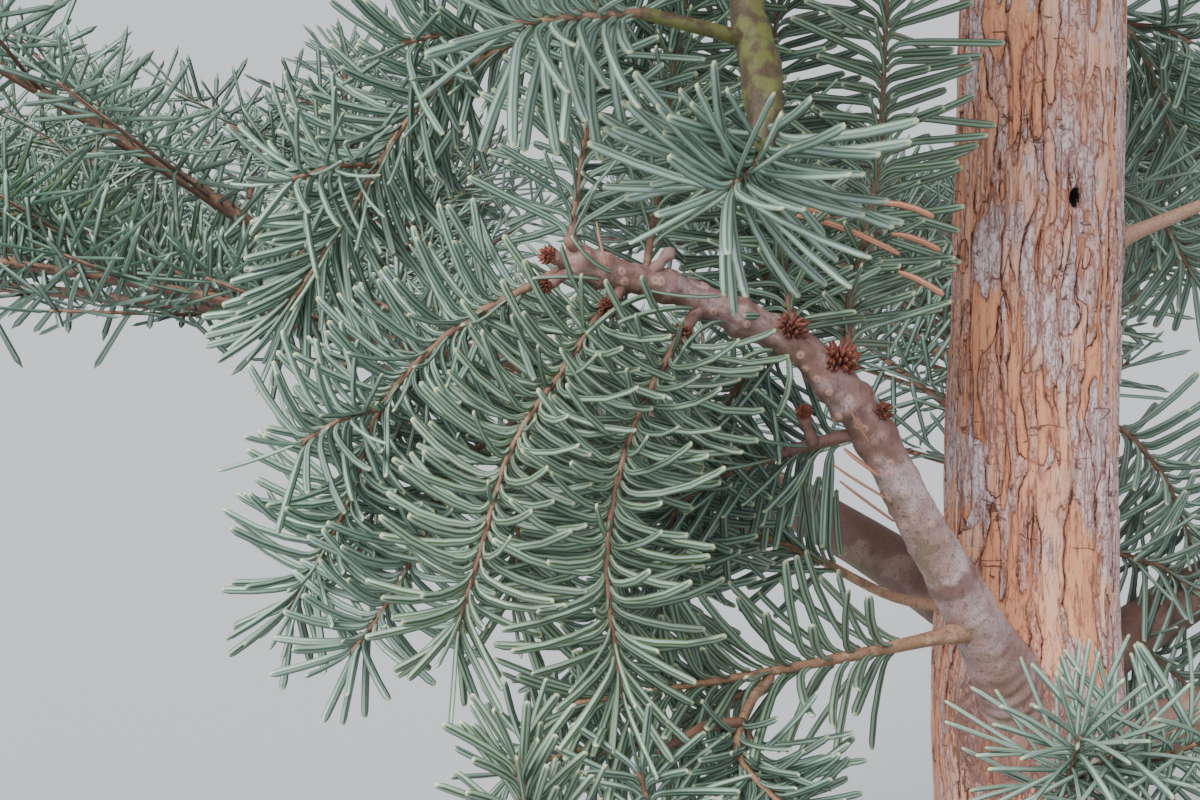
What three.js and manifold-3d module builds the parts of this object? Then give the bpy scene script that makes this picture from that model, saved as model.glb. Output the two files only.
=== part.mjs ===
// A young noble fir, 2.6 m tall, rooted in level ground.
// Millimetres, +Z up. The origin is the middle of the flat cut under the trunk, at ground level.
// Azimuths are in degrees round the trunk: 0 is +X, 90 is +Y, and the side seen from -Y is the front.

import * as THREE from "three";
import { mergeVertices } from "three/addons/utils/BufferGeometryUtils.js";
import Module from "manifold-3d";

const wasm = await Module();
wasm.setup();

// Driving dimensions of the trunk
const TRUNK_TOP = 2300;
const TRUNK_WAIST_RADIUS = 28;
const TRUNK_WAIST_HEIGHT = 520;
const TRUNK_TIP_RADIUS = 5;
const FLARE_RADIUS = 20;
const FLARE_HEIGHT = 55;
const COLLAR_SWELL = 0.07;
const COLLAR_HALF_HEIGHT = 26;
const TRUNK_LEAN = 14;
const TRUNK_BOW = 4;
const TRUNK_SIDES = 12;
const TRUNK_RINGS = 24;

// Driving dimensions of the boughs and their foliage
const CLEARANCE = 0.3;
const BOUGH_SIDES = 6;
const BOUGH_STEPS = 5;
const BOUGH_SHARE = 0.3;
const STEM_SIDES = 4;
const STEM_STEPS = 3;
const BOUGH_BASE_RADIUS = 4;
const BOUGH_RADIUS_SHARE = 0.007;
const STEM_TIP_RADIUS = 3.8;
const STEM_END = 0.86;
const TWIG_SHARE = 0.5;
const TWIG_SPREAD = 50;
const TWIG_LOWEST = -6;
const TWIG_HIGHEST = 28;
const TWIG_BARE = 0.2;
const COARSE_TWIG_EVERY = 180;
const FINE_TWIGS_PER_COARSE = 9;
const TOOTH_STEP = 82;
const TOOTH_REACH = 42;
const BLADE_THICKNESS = 4.4;
const BLADE_RIB = 2.8;
const BARE_STEP = 60;
const SHORTEST_TWIG = 75;
const TWIG_BOW = 0.06;
const SPACE_MARGIN = 12;
const WIDEST_SPACE = 110;

// Driving dimensions of the low left bough, which ends early in a knot of hanging shoots
const LEFT_AZIMUTH = 214;
const LEFT_ROOT_RADIUS = 9.2;
const LEFT_END_RADIUS = 5;
const LEFT_ROOT_FLARE = 3.5;
const SHOOT_STEP = 9;
const SHOOT_REACH = 25;
const SHOOT_RIB = 1.5;
const SHOOT_THICKNESS = 2.4;
const NEEDLE_LENGTH = 28;
const NEEDLE_WIDTH = 3;
const BUD_RADIUS = 4.2;

const radians = THREE.MathUtils.degToRad;
const UP = new THREE.Vector3(0, 0, 1);
const TOWARDS_VIEWER = new THREE.Vector3(0, -1, 0.25).normalize();

const bark = new THREE.MeshStandardMaterial({
  name: "trunk_bark",
  color: new THREE.Color(0.56, 0.33, 0.2),
  roughness: 0.9,
  metalness: 0,
});
const limbBark = new THREE.MeshStandardMaterial({
  name: "limb_bark",
  color: new THREE.Color(0.36, 0.27, 0.23),
  roughness: 0.75,
  metalness: 0,
});
const needles = new THREE.MeshStandardMaterial({
  name: "needles",
  color: new THREE.Color(0.22, 0.34, 0.27),
  roughness: 0.55,
  metalness: 0,
});

// Every tier of boughs: the azimuths, the height on the trunk and how much each bough is above or below
// it, how far out the tips reach, how much higher they are than the roots, and the slope at which the
// boughs leave the trunk where it isn't BOUGH_SLOPE.
const TIERS = [
  {
    name: "low",
    azimuths: [-30, 26, 85, 146],
    height: 412,
    offsets: [-32, -8, 6, 12],
    reach: 735,
    rise: 150,
  },
  { name: "front", azimuths: [-92], height: 262, reach: 560, rise: 40, slope: 0.1 },
  { name: "second", azimuths: [-50, 20, 92, 165, 237], height: 742, reach: 670, rise: 185 },
  { name: "second_upper", azimuths: [-15, 128, 200], height: 895, reach: 500, rise: 150 },
  { name: "third", azimuths: [-88, -16, 56, 128, 200], height: 1070, reach: 580, rise: 205 },
  { name: "third_upper", azimuths: [20, 165, 237], height: 1215, reach: 430, rise: 150 },
  { name: "fourth", azimuths: [-52, 20, 92, 164, 236], height: 1375, reach: 475, rise: 205 },
  { name: "fourth_upper", azimuths: [-90, 55, 200], height: 1515, reach: 335, rise: 150 },
  { name: "fifth", azimuths: [0, 90, 180, 270], height: 1660, reach: 370, rise: 200 },
  { name: "sixth", azimuths: [45, 135, 225, 315], height: 1910, reach: 262, rise: 175, slope: 0.8 },
  { name: "seventh", azimuths: [-90, 30, 150], height: 2130, reach: 160, rise: 140, slope: 1 },
];
const TIERS_WITH_OWN_BOUGHS = ["low", "front"];
const BOUGH_SLOPE = 0.6;

// A repeatable number from 0 to 1: the k-th choice of the plant part with that seed.
function chance(seed, k) {
  const wave = Math.sin(seed * 12.9898 + k * 78.233) * 43758.5453;
  return wave - Math.floor(wave);
}

function outward(azimuth) {
  return new THREE.Vector3(Math.cos(radians(azimuth)), Math.sin(radians(azimuth)), 0);
}

// A closed mesh as a solid that can be joined and cut.
function solidOf(geometry) {
  const bare = geometry.index ? geometry.toNonIndexed() : geometry.clone();
  bare.deleteAttribute("normal");
  bare.deleteAttribute("uv");
  const merged = mergeVertices(bare, 1e-3);
  const corners = Array.from(merged.index.array);
  const triangles = [];
  for (let i = 0; i < corners.length; i += 3) {
    const [a, b, c] = corners.slice(i, i + 3);
    if (a !== b && b !== c && c !== a) triangles.push(a, b, c);
  }
  return new wasm.Manifold(
    new wasm.Mesh({
      numProp: 3,
      vertProperties: merged.attributes.position.array,
      triVerts: new Uint32Array(triangles),
    }),
  );
}

function geometryOf(solid) {
  const mesh = solid.getMesh();
  return new THREE.BufferGeometry()
    .setAttribute("position", new THREE.BufferAttribute(mesh.vertProperties, 3))
    .setIndex(new THREE.BufferAttribute(mesh.triVerts, 1))
    .toNonIndexed();
}

// Bends a shape modelled along +Y, from 0 to 1, so that it follows a curve, with its +Z side turned
// to face. The x and z of each point are sizes in millimetres times scaleAt(y).
function bend(geometry, curve, face, scaleAt = () => 1, camber = 0) {
  const length = curve.getLength();
  const position = geometry.getAttribute("position");
  for (let i = 0; i < position.count; i++) {
    const along = position.getY(i);
    const t = THREE.MathUtils.clamp(along, 0, 1);
    const tangent = curve.getTangentAt(t);
    const normal = face.clone().addScaledVector(tangent, -face.dot(tangent)).normalize();
    const side = tangent.clone().cross(normal);
    const scale = scaleAt(t);
    const x = position.getX(i) * scale;
    const z = position.getZ(i) * scale + camber * x * x;
    const point = curve
      .getPointAt(t)
      .addScaledVector(tangent, (along - t) * length)
      .addScaledVector(side, x)
      .addScaledVector(normal, z);
    position.setXYZ(i, point.x, point.y, point.z);
  }
  return geometry;
}

// A limb along a curve: a tube whose radius is radiusAt(t), with flat ends.
function limb(curve, radiusAt, sides, steps, face = UP) {
  const tube = new THREE.CylinderGeometry(1, 1, 1, sides, steps).translate(0, 0.5, 0);
  return solidOf(bend(tube, curve, face, radiusAt));
}

// The stretch of a curve between two shares of its length.
class Stretch extends THREE.Curve {
  constructor(whole, from, to) {
    super();
    this.shareAt = (t) => from + (to - from) * t;
    this.whole = whole;
  }

  getPoint(t) {
    return this.whole.getPointAt(this.shareAt(t));
  }

  getTangent(t) {
    return this.whole.getTangentAt(this.shareAt(t));
  }
}

// A blade along +Y, from 0 to 1 and on to its point: a rib with sections at shares, whose corners run
// round from the lower left, and from each of its two edges one tooth for each step after the bare ones.
function blade(shares, bareSteps, size, length) {
  const positions = [];
  const half = size.thickness / 2;
  const sectionAt = (y) => [
    [-size.rib, y, -half],
    [size.rib, y, -half],
    [size.rib, y, half],
    [-size.rib, y, half],
  ];
  const close = (loop, apex) =>
    loop.forEach((corner, k) => positions.push(...corner, ...loop[(k + 1) % 4], ...apex));
  const sections = shares.map(sectionAt);
  const teeth = sections.length - 1 - bareSteps;
  for (let i = 0; i + 1 < sections.length; i++) {
    const tooth = i - bareSteps;
    const reach = size.reach * (0.78 + 0.22 * Math.sin((Math.PI * (tooth + 1)) / (teeth + 1)));
    for (let k = 0; k < 4; k++) {
      const next = (k + 1) % 4;
      const loop = [sections[i][next], sections[i][k], sections[i + 1][k], sections[i + 1][next]];
      if (k % 2 && tooth >= 0) {
        close(loop, [(size.rib + reach) * (2 - k), shares[i] + (reach * size.lean) / length, 0]);
      } else {
        positions.push(...loop[0], ...loop[1], ...loop[2], ...loop[0], ...loop[2], ...loop[3]);
      }
    }
  }
  const [a, b, c, d] = sections[0];
  positions.push(...a, ...b, ...c, ...a, ...c, ...d);
  close(sections.at(-1).toReversed(), [0, 1 + (0.9 * size.reach) / length, 0]);
  const corners = new THREE.Float32BufferAttribute(positions, 3);
  return new THREE.BufferGeometry().setAttribute("position", corners);
}

// A spray of needles on its twig: a blade along a curve whose rib is the twig, bare at first, with
// needle teeth that lean towards its tip and thin out to a point.
function spray(curve, size, face = UP) {
  const length = curve.getLength();
  const teeth = Math.max(2, Math.round(((1 - size.bare) * length) / size.step));
  const bareSteps = Math.ceil((size.bare * length) / BARE_STEP);
  const shares = Array.from({ length: bareSteps }, (_, i) => (size.bare * i) / bareSteps);
  for (let i = 0; i <= teeth; i++) shares.push(size.bare + ((1 - size.bare) * i) / teeth);
  return solidOf(bend(blade(shares, bareSteps, size, length), curve, face, () => 1, size.camber));
}

// One needle of eight faces, from a root point along a direction.
function needle(root, direction, length, width) {
  const spindle = new THREE.OctahedronGeometry(0.5).scale(width, length, width * 0.6);
  spindle.translate(0, length * 0.42, 0);
  const turn = new THREE.Quaternion().setFromUnitVectors(new THREE.Vector3(0, 1, 0), direction);
  return solidOf(spindle.applyQuaternion(turn).translate(root.x, root.y, root.z));
}

function joined(solids) {
  return solids.reduce((whole, next) => whole.add(next));
}

const tree = new THREE.Group();

function place(name, solid, material) {
  const mesh = new THREE.Mesh(geometryOf(solid), material);
  mesh.name = name;
  tree.add(mesh);
}

// The trunk: its radius and the middle of its section at a height.
function trunkRadius(z) {
  const share = (TRUNK_TOP - z) / (TRUNK_TOP - TRUNK_WAIST_HEIGHT);
  const taper = TRUNK_TIP_RADIUS + (TRUNK_WAIST_RADIUS - TRUNK_TIP_RADIUS) * Math.max(share, 0) ** 0.85;
  const swell = TIERS.reduce((sum, tier) => {
    const away = (z - tier.height) / COLLAR_HALF_HEIGHT;
    return sum + (tier.azimuths.length > 3 ? COLLAR_SWELL * Math.exp(-away * away) : 0);
  }, 1);
  return taper * swell + FLARE_RADIUS * Math.exp(-z / FLARE_HEIGHT);
}

function trunkMiddle(z) {
  const share = z / TRUNK_TOP;
  return new THREE.Vector3(TRUNK_LEAN * share ** 2, TRUNK_BOW * Math.sin(Math.PI * share) ** 2, z);
}

function trunkSolid(extra = 0) {
  const heights = Array.from({ length: TRUNK_RINGS + 1 }, (_, i) => TRUNK_TOP * (i / TRUNK_RINGS) ** 1.3);
  const profile = [
    new THREE.Vector2(0, 0),
    ...heights.map((z) => new THREE.Vector2(trunkRadius(z) + extra, z)),
    new THREE.Vector2(0, TRUNK_TOP),
  ];
  const lathe = new THREE.LatheGeometry(profile, TRUNK_SIDES).rotateX(Math.PI / 2);
  const position = lathe.getAttribute("position");
  for (let i = 0; i < position.count; i++) {
    const z = position.getZ(i);
    const middle = trunkMiddle(z);
    position.setXYZ(i, position.getX(i) + middle.x, position.getY(i) + middle.y, z);
  }
  return solidOf(lathe);
}

// The line of a bough, from inside the trunk to its tip.
function boughLine(azimuth, tier, offset) {
  const out = outward(azimuth);
  const root = trunkMiddle(tier.height + offset);
  const turn = root.clone().addScaledVector(out, tier.reach * 0.28);
  turn.z += tier.reach * 0.28 * (tier.slope ?? BOUGH_SLOPE);
  const tip = root.clone().addScaledVector(out, tier.reach);
  tip.z += tier.rise;
  return new THREE.QuadraticBezierCurve3(root, turn, tip);
}

function boughRadius(tier) {
  const root = BOUGH_BASE_RADIUS + BOUGH_RADIUS_SHARE * tier.reach;
  return (t) => STEM_TIP_RADIUS + (root - STEM_TIP_RADIUS) * (1 - t) ** 0.9;
}

// The twigs of a bough, by the seeded rule: they alternate left and right along the bough's line, lean
// forward, shorten towards its tip and stop at the edge of the space between its neighbours.
function twigRule(line, seed, azimuth, halfSpace) {
  const total = line.getLength();
  const count = Math.max(2, Math.round(total / COARSE_TWIG_EVERY)) * FINE_TWIGS_PER_COARSE;
  return Array.from({ length: count }, (_, j) => {
    const t = 0.28 + (0.68 * (j + 0.5)) / count;
    const spread = radians(TWIG_SPREAD + 14 * (chance(seed, 4 * j) - 0.5));
    const lift = radians(TWIG_LOWEST + (TWIG_HIGHEST - TWIG_LOWEST) * chance(seed, 4 * j + 1));
    const root = line.getPointAt(t);
    const forward = line.getTangentAt(t);
    const side = forward.clone().cross(UP).normalize();
    const direction = forward
      .multiplyScalar(Math.cos(spread))
      .addScaledVector(side, Math.sin(spread) * (j % 2 ? 1 : -1))
      .addScaledVector(UP, Math.sin(lift))
      .normalize();
    let length = TWIG_SHARE * total * (1.06 - t) ** 0.75 * (0.86 + 0.28 * chance(seed, 4 * j + 2));
    for (let tries = 0; tries < 12 && !insideSpace(root, direction, length, azimuth, halfSpace); tries++) {
      length *= 0.88;
    }
    return { j, root, direction, length };
  });
}

// Whether the end of a twig, with its needles, stays between the two planes that bound the bough's space.
function insideSpace(root, direction, length, azimuth, halfSpace) {
  const end = root.clone().addScaledVector(direction, length + TOOTH_REACH);
  const away = Math.atan2(end.y, end.x) - radians(azimuth);
  const angle = Math.abs(Math.atan2(Math.sin(away), Math.cos(away)));
  return Math.hypot(end.x, end.y) * Math.sin(radians(halfSpace) - angle) > SPACE_MARGIN;
}

const trunkCleared = trunkSolid(CLEARANCE);
const deadTwig = new THREE.LineCurve3(new THREE.Vector3(10, 0, 556), new THREE.Vector3(56, -8, 576));
place("trunk", trunkSolid().add(limb(deadTwig, (t) => 3.4 - 1.2 * t, 5, 1)), bark);

const BLADE = {
  step: TOOTH_STEP,
  reach: TOOTH_REACH,
  rib: BLADE_RIB,
  thickness: BLADE_THICKNESS,
  bare: TWIG_BARE,
  lean: 0.75,
  camber: 0.004,
};

// A mass of foliage on a bough's line: a stem from startShare to near the tip, and its coarse twigs,
// each with a spray fused on.
function foliage(line, radiusAt, startShare, twigs) {
  const stemLine = new Stretch(line, startShare, STEM_END);
  const stemRadius = (t) => radiusAt(startShare + t * (STEM_END - startShare));
  const stem = limb(stemLine, stemRadius, STEM_SIDES, STEM_STEPS);
  const parts = [stem, spray(new Stretch(line, STEM_END - 0.02, 1), BLADE)];
  for (const { j, root, direction, length } of twigs) {
    if (j % FINE_TWIGS_PER_COARSE !== 2 || length < SHORTEST_TWIG) continue;
    const end = root.clone().addScaledVector(direction, length);
    const bowed = root.clone().lerp(end, 0.55);
    bowed.z += TWIG_BOW * length;
    parts.push(spray(new THREE.QuadraticBezierCurve3(root, bowed, end), BLADE));
  }
  return joined(parts);
}

// Half the angle between a bough and its nearer neighbour in the same tier.
function halfSpaceOf(azimuth, others) {
  const gaps = others.filter((other) => other !== azimuth).map((other) => {
    const gap = Math.abs(azimuth - other) % 360;
    return Math.min(gap, 360 - gap);
  });
  return Math.min(WIDEST_SPACE, ...gaps) / 2;
}

let seed = 1;
for (const tier of TIERS) {
  const whorl = tier.name === "low" ? [...tier.azimuths, LEFT_AZIMUTH] : tier.azimuths;
  tier.azimuths.forEach((azimuth, i) => {
    const line = boughLine(azimuth, tier, tier.offsets?.[i] ?? 0);
    const radiusAt = boughRadius(tier);
    const twigs = twigRule(line, seed, azimuth, halfSpaceOf(azimuth, whorl));
    const name = `${tier.name}_${i + 1}`;
    if (TIERS_WITH_OWN_BOUGHS.includes(tier.name)) {
      const inner = new Stretch(line, 0, BOUGH_SHARE - CLEARANCE / line.getLength());
      const bough = limb(inner, (t) => radiusAt(t * BOUGH_SHARE), BOUGH_SIDES, BOUGH_STEPS);
      place(`bough_${name}`, bough.subtract(trunkCleared), limbBark);
      place(`foliage_${name}`, foliage(line, radiusAt, BOUGH_SHARE, twigs), needles);
    } else {
      place(`foliage_${name}`, foliage(line, radiusAt, 0, twigs).subtract(trunkCleared), needles);
    }
    seed += 1;
  });
}

// The leader: one upright shoot on the trunk's tip, with needles all round.
function leader() {
  const root = trunkMiddle(TRUNK_TOP);
  root.z += CLEARANCE;
  const tip = root.clone().add(new THREE.Vector3(4, 2, 280));
  const line = new THREE.QuadraticBezierCurve3(root, root.clone().lerp(tip, 0.5), tip);
  const parts = [limb(line, (t) => TRUNK_TIP_RADIUS - 3 * t, 6, 3, outward(0))];
  for (const azimuth of [0, 90]) {
    const blade = { ...BLADE, step: 38, reach: 26, camber: 0 };
    parts.push(spray(new Stretch(line, 0.12, 1), blade, outward(azimuth)));
  }
  return joined(parts);
}
place("foliage_leader", leader(), needles);

// The points of a line, given as [x, y, z] triples.
function lineThrough(...points) {
  return new THREE.CatmullRomCurve3(points.map((point) => new THREE.Vector3(...point)));
}

const SHOOT = {
  step: SHOOT_STEP,
  reach: SHOOT_REACH,
  rib: SHOOT_RIB,
  thickness: SHOOT_THICKNESS,
  bare: 0.06,
  lean: 0.45,
  camber: 0,
};

// A shoot seen from the front, with needles to both sides.
function shoot(line, size = {}) {
  return spray(line, { ...SHOOT, ...size }, TOWARDS_VIEWER);
}

// A tuft of needles seen end on: they stand out of the bud at the end of a shoot, leaning out from its
// direction.
function tuft(root, direction, count, lean, start = 0) {
  const axis = direction.clone().normalize();
  const side = axis.clone().cross(UP).normalize();
  const up = side.clone().cross(axis);
  const bud = new THREE.IcosahedronGeometry(BUD_RADIUS, 0).translate(root.x, root.y, root.z);
  const standing = [solidOf(bud)];
  for (let k = 0; k < count; k++) {
    const turn = start + (2 * Math.PI * k) / count;
    const open = THREE.MathUtils.degToRad(lean + 14 * (chance(count, k) - 0.5));
    const way = axis
      .clone()
      .multiplyScalar(Math.cos(open))
      .addScaledVector(side, Math.sin(open) * Math.cos(turn))
      .addScaledVector(up, Math.sin(open) * Math.sin(turn));
    const foot = root.clone().addScaledVector(way, BUD_RADIUS);
    standing.push(needle(foot, way, NEEDLE_LENGTH, NEEDLE_WIDTH));
  }
  return joined(standing);
}

// The low left bough: it rises steeply, bends over to the left and ends early.
const leftLine = lineThrough(
  [-2, -15, 412],
  [-16, -36, 432],
  [-41, -54, 472],
  [-68, -67, 517],
  [-83, -72, 533],
  [-102, -79, 543],
);
const leftRadius = (t) =>
  LEFT_ROOT_RADIUS + (LEFT_END_RADIUS - LEFT_ROOT_RADIUS) * t + LEFT_ROOT_FLARE * Math.exp(-t / 0.06);
place("bough_left", limb(leftLine, leftRadius, 10, 9).subtract(trunkCleared), limbBark);
const leftCleared = limb(leftLine, (t) => leftRadius(t) + CLEARANCE, 10, 9);
const woodCleared = leftCleared.add(trunkCleared);

// Its end, knotted, with three shoots that hang from it and one that stands up.
const knot = lineThrough([-102.5, -79.2, 543.2], [-120, -86, 551], [-137, -94, 556], [-154, -100, 561]);
const knotRadius = (t) => 4.9 - 1.4 * t + 2.6 * Math.exp(-(((t - 0.97) / 0.09) ** 2));
const hanging = [
  lineThrough([-114, -84, 548], [-123, -94, 533], [-134, -107, 512], [-141, -120, 480], [-137, -118, 440]),
  lineThrough([-137, -93, 555], [-149, -100, 536], [-168, -114, 508], [-177, -121, 478], [-184, -118, 455]),
  lineThrough([-152, -98, 559], [-190, -86, 536], [-207, -78, 517], [-220, -69, 484], [-238, -61, 452]),
];
const standing = lineThrough([-152, -98, 560], [-150, -88, 577], [-147, -79, 598], [-143, -72, 641]);
place(
  "foliage_left_end",
  joined([
    limb(knot, knotRadius, 7, 6),
    ...hanging.map((line) => shoot(line)),
    shoot(standing, { step: 12 }),
  ]),
  needles,
);

// Shoots on the bough itself, which start inside it and are cut clear of it.
const sideShoots = {
  upright_short: lineThrough([-84, -72, 531], [-88, -67, 556], [-91, -64, 576]),
  upright_long: lineThrough([-68, -67, 519], [-67, -58, 547], [-61, -54, 571], [-55, -46, 646]),
  inner: lineThrough([-62, -64, 507], [-87, -52, 498], [-106, -46, 490], [-122, -42, 479]),
  behind: lineThrough([-27, -42, 448], [-46, -31, 449], [-77, -10, 461], [-110, 2, 470], [-165, 16, 482]),
};
for (const [name, line] of Object.entries(sideShoots)) {
  place(`foliage_left_${name}`, shoot(line, { step: 11 }).subtract(woodCleared), needles);
}

// The side limb under the bough, which forks: one end runs on to the left, the other hangs.
const sideLimb = lineThrough([-24, -46, 443], [-50, -58, 440], [-83, -74, 437], [-150, -101, 432]);
const fork = lineThrough([-92, -79, 435], [-100, -89, 427], [-103, -98, 419], [-86, -113, 400]);
place(
  "foliage_left_side",
  joined([
    limb(new Stretch(sideLimb, 0, 0.5), (t) => 3.1 - 0.9 * t, 6, 3),
    shoot(new Stretch(sideLimb, 0.48, 1), { step: 11 }),
    shoot(fork, { step: 11, reach: 18, bare: 0.25 }),
  ]).subtract(woodCleared),
  needles,
);

// An old drooping bough above, with a tuft at its end and a side twig.
const oldLine = lineThrough(
  [0, 0, 716],
  [-58, -92, 712],
  [-98, -154, 686],
  [-108, -171, 640],
  [-103, -191, 600],
);
const oldRadius = (t) => 5.2 - 1.5 * t;
const oldTwig = lineThrough([-105, -180, 618], [-115, -188, 620], [-133, -195, 624]);
const oldBough = limb(oldLine, oldRadius, 7, 8).add(limb(oldTwig, (t) => 2 - 0.4 * t, 5, 2));
place("bough_old", oldBough.subtract(trunkCleared), limbBark);
const oldEnd = new THREE.Vector3(-103.1, -193.5, 594);
const oldTip = lineThrough([-103, -191.8, 598.8], [-103.3, -195, 591], [-104, -204, 580]);
place(
  "foliage_old_end",
  joined([
    limb(oldTip, (t) => 3.6 - 1.4 * t, 6, 2),
    tuft(oldEnd, new THREE.Vector3(-0.2, -0.9, -0.3), 8, 68),
    tuft(new THREE.Vector3(-104, -203, 581), new THREE.Vector3(-0.3, -0.9, -0.1), 6, 50, 0.4),
  ]),
  needles,
);
const oldSideLine = lineThrough([-133.4, -195.2, 624], [-145, -199, 623], [-163, -203, 621]);
place("foliage_old_side", shoot(oldSideLine, { step: 11 }), needles);

// A low shoot of the next bough above, hanging to the left, and two short shoots low at the front.
const upperLeft = lineThrough(
  [0, 0, 690],
  [-70, -30, 676],
  [-143, -42, 637],
  [-196, -34, 609],
  [-225, -30, 567],
  [-245, -27, 538],
);
place("foliage_upper_left", shoot(upperLeft, { bare: 0.3 }).subtract(trunkCleared), needles);
const lowFront = lineThrough([0, 0, 366], [-4, -60, 388], [-8, -112, 416], [-10, -132, 430]);
const lowFrontFork = lineThrough([-6, -86, 401], [0, -105, 414], [4, -122, 424]);
place(
  "foliage_low_front",
  joined([
    limb(lowFront, (t) => 2.6 - 0.9 * t, 5, 4),
    limb(lowFrontFork, (t) => 1.9 - 0.4 * t, 5, 2),
    tuft(new THREE.Vector3(-10, -131, 429), new THREE.Vector3(-0.2, -0.9, 0.5), 8, 58),
    tuft(new THREE.Vector3(4, -121, 423), new THREE.Vector3(0.3, -0.9, 0.4), 7, 52, 0.3),
  ]).subtract(trunkCleared),
  needles,
);
const lowLeft = lineThrough(
  [0, 0, 352],
  [-62, -66, 360],
  [-122, -126, 376],
  [-158, -154, 400],
  [-165, -161, 432],
);
place("foliage_low_left", shoot(lowLeft, { bare: 0.7, step: 11 }).subtract(trunkCleared), needles);

export default tree;
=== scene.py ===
"""A young noble fir: bark, boughs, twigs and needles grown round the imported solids.

Lengths are in metres. The tables of tiers, lines, needles, spurs and scales are in millimetres, and so
are values that a formula multiplies by MM. +Z is up, and the origin is the middle of the cut under the
trunk.
"""
import math

import bpy
import numpy as np
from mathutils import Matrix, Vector


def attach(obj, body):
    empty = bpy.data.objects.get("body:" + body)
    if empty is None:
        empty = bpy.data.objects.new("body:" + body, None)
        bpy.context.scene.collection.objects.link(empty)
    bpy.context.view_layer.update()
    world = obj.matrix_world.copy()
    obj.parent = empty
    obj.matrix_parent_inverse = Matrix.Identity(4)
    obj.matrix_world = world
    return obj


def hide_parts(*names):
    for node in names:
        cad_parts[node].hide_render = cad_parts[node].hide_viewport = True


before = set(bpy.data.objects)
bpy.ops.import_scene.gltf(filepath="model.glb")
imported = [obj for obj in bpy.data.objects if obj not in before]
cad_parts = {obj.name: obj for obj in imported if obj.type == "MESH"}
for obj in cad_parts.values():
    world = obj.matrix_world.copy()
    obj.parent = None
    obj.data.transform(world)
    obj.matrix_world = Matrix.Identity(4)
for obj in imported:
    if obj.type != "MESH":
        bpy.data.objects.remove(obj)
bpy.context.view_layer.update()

bl_info = {
    "name": "Noble Fir",
    "version": (1, 0, 0),
    "blender": (4, 5, 0),
    "location": "View3D > Sidebar > Noble Fir",
    "description": "Grows the bark, boughs, twigs and needles of a young noble fir round its solids",
    "category": "Object",
}

MM = 0.001

# The trunk, as in the part
TRUNK_TOP = 2.3
TRUNK_WAIST_RADIUS = 0.028
TRUNK_WAIST_HEIGHT = 0.52
TRUNK_TIP_RADIUS = 0.005
FLARE_RADIUS = 0.02
FLARE_HEIGHT = 0.055
COLLAR_SWELL = 0.07
COLLAR_HALF_HEIGHT = 0.026
TRUNK_LEAN = 0.014
TRUNK_BOW = 0.004
KNOT_HOLE_AZIMUTH = math.radians(-73.5)
KNOT_HOLE_HEIGHT = 0.577
KNOT_HOLE_SIZE = (0.0023, 0.0034)
KNOT_HOLE_DEPTH = 0.005
# The knot hole's near-black colour is painted shade inside the hole
KNOT_HOLE_SHADE = (0.006, 0.004, 0.004)

# The bark's finest rings lie in the stretch that the camera sees, and its two pieces meet at the seam.
# The steps between rings are those of the foot, of that stretch, from there to the seam, and past it.
CLOSE_STRETCH = (0.36, 0.665)
TRUNK_SEAM = 0.7
FOOT_STEP = 0.0042
CLOSE_STEP = 0.0013
SEAM_STEP = 0.003
UPPER_STEP = 0.0065
LOWER_COLUMNS = 252
UPPER_COLUMNS = 120

# Between strips the bark steps down, over a step's width, and cracks open along the step
STRIP_STEP = 0.0005
STEP_WIDTH = 0.0018
CRACK_WIDTH = 0.0007

# Collars of the left bough and of the dead twig: azimuth, height, thickness and rise
LEFT_COLLAR = (math.radians(251), 0.404, 0.0135, 0.0062)
DEAD_TWIG_COLLAR = (math.radians(-8), 0.562, 0.004, 0.0011)

# The boughs and their twigs, as in the part, with angles in degrees
BOUGH_BASE_RADIUS = 0.004
BOUGH_RADIUS_SHARE = 0.007
STEM_TIP_RADIUS = 0.0016
TWIG_TIP_RADIUS = 0.0007
BOUGH_SLOPE = 0.6
BOUGH_TURN = 0.28
TWIG_SHARE = 0.5
TWIGS_START = 0.28
TWIGS_SPAN = 0.68
TWIG_TURN = 0.55
TWIG_SPREAD = 50
TWIG_LOWEST = -6
TWIG_HIGHEST = 28
TWIG_BOW = 0.06
COARSE_TWIG_EVERY = 0.18
FINE_TWIGS_PER_COARSE = 9
TOOTH_REACH = 0.042
SPACE_MARGIN = 0.012
WIDEST_SPACE = 110
LEFT_AZIMUTH = 214

# The boughs near the camera, with more inner twigs and with needles of more faces
CLOSER_BOUGHS = ("low_3", "low_4", "second_5")

# Every tier, in millimetres and degrees: azimuths, height and offsets on the trunk, reach, rise, any slope
TIERS = [
    dict(name="low", azimuths=[-30, 26, 85, 146], height=412, offsets=[-32, -8, 6, 12], reach=735, rise=150),
    dict(name="front", azimuths=[-92], height=262, reach=560, rise=40, slope=0.1),
    dict(name="second", azimuths=[-50, 20, 92, 165, 237], height=742, reach=670, rise=185),
    dict(name="second_upper", azimuths=[-15, 128, 200], height=895, reach=500, rise=150),
    dict(name="third", azimuths=[-88, -16, 56, 128, 200], height=1070, reach=580, rise=205),
    dict(name="third_upper", azimuths=[20, 165, 237], height=1215, reach=430, rise=150),
    dict(name="fourth", azimuths=[-52, 20, 92, 164, 236], height=1375, reach=475, rise=205),
    dict(name="fourth_upper", azimuths=[-90, 55, 200], height=1515, reach=335, rise=150),
    dict(name="fifth", azimuths=[0, 90, 180, 270], height=1660, reach=370, rise=200),
    dict(name="sixth", azimuths=[45, 135, 225, 315], height=1910, reach=262, rise=175, slope=0.8),
    dict(name="seventh", azimuths=[-90, 30, 150], height=2130, reach=160, rise=140, slope=1),
]

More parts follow.
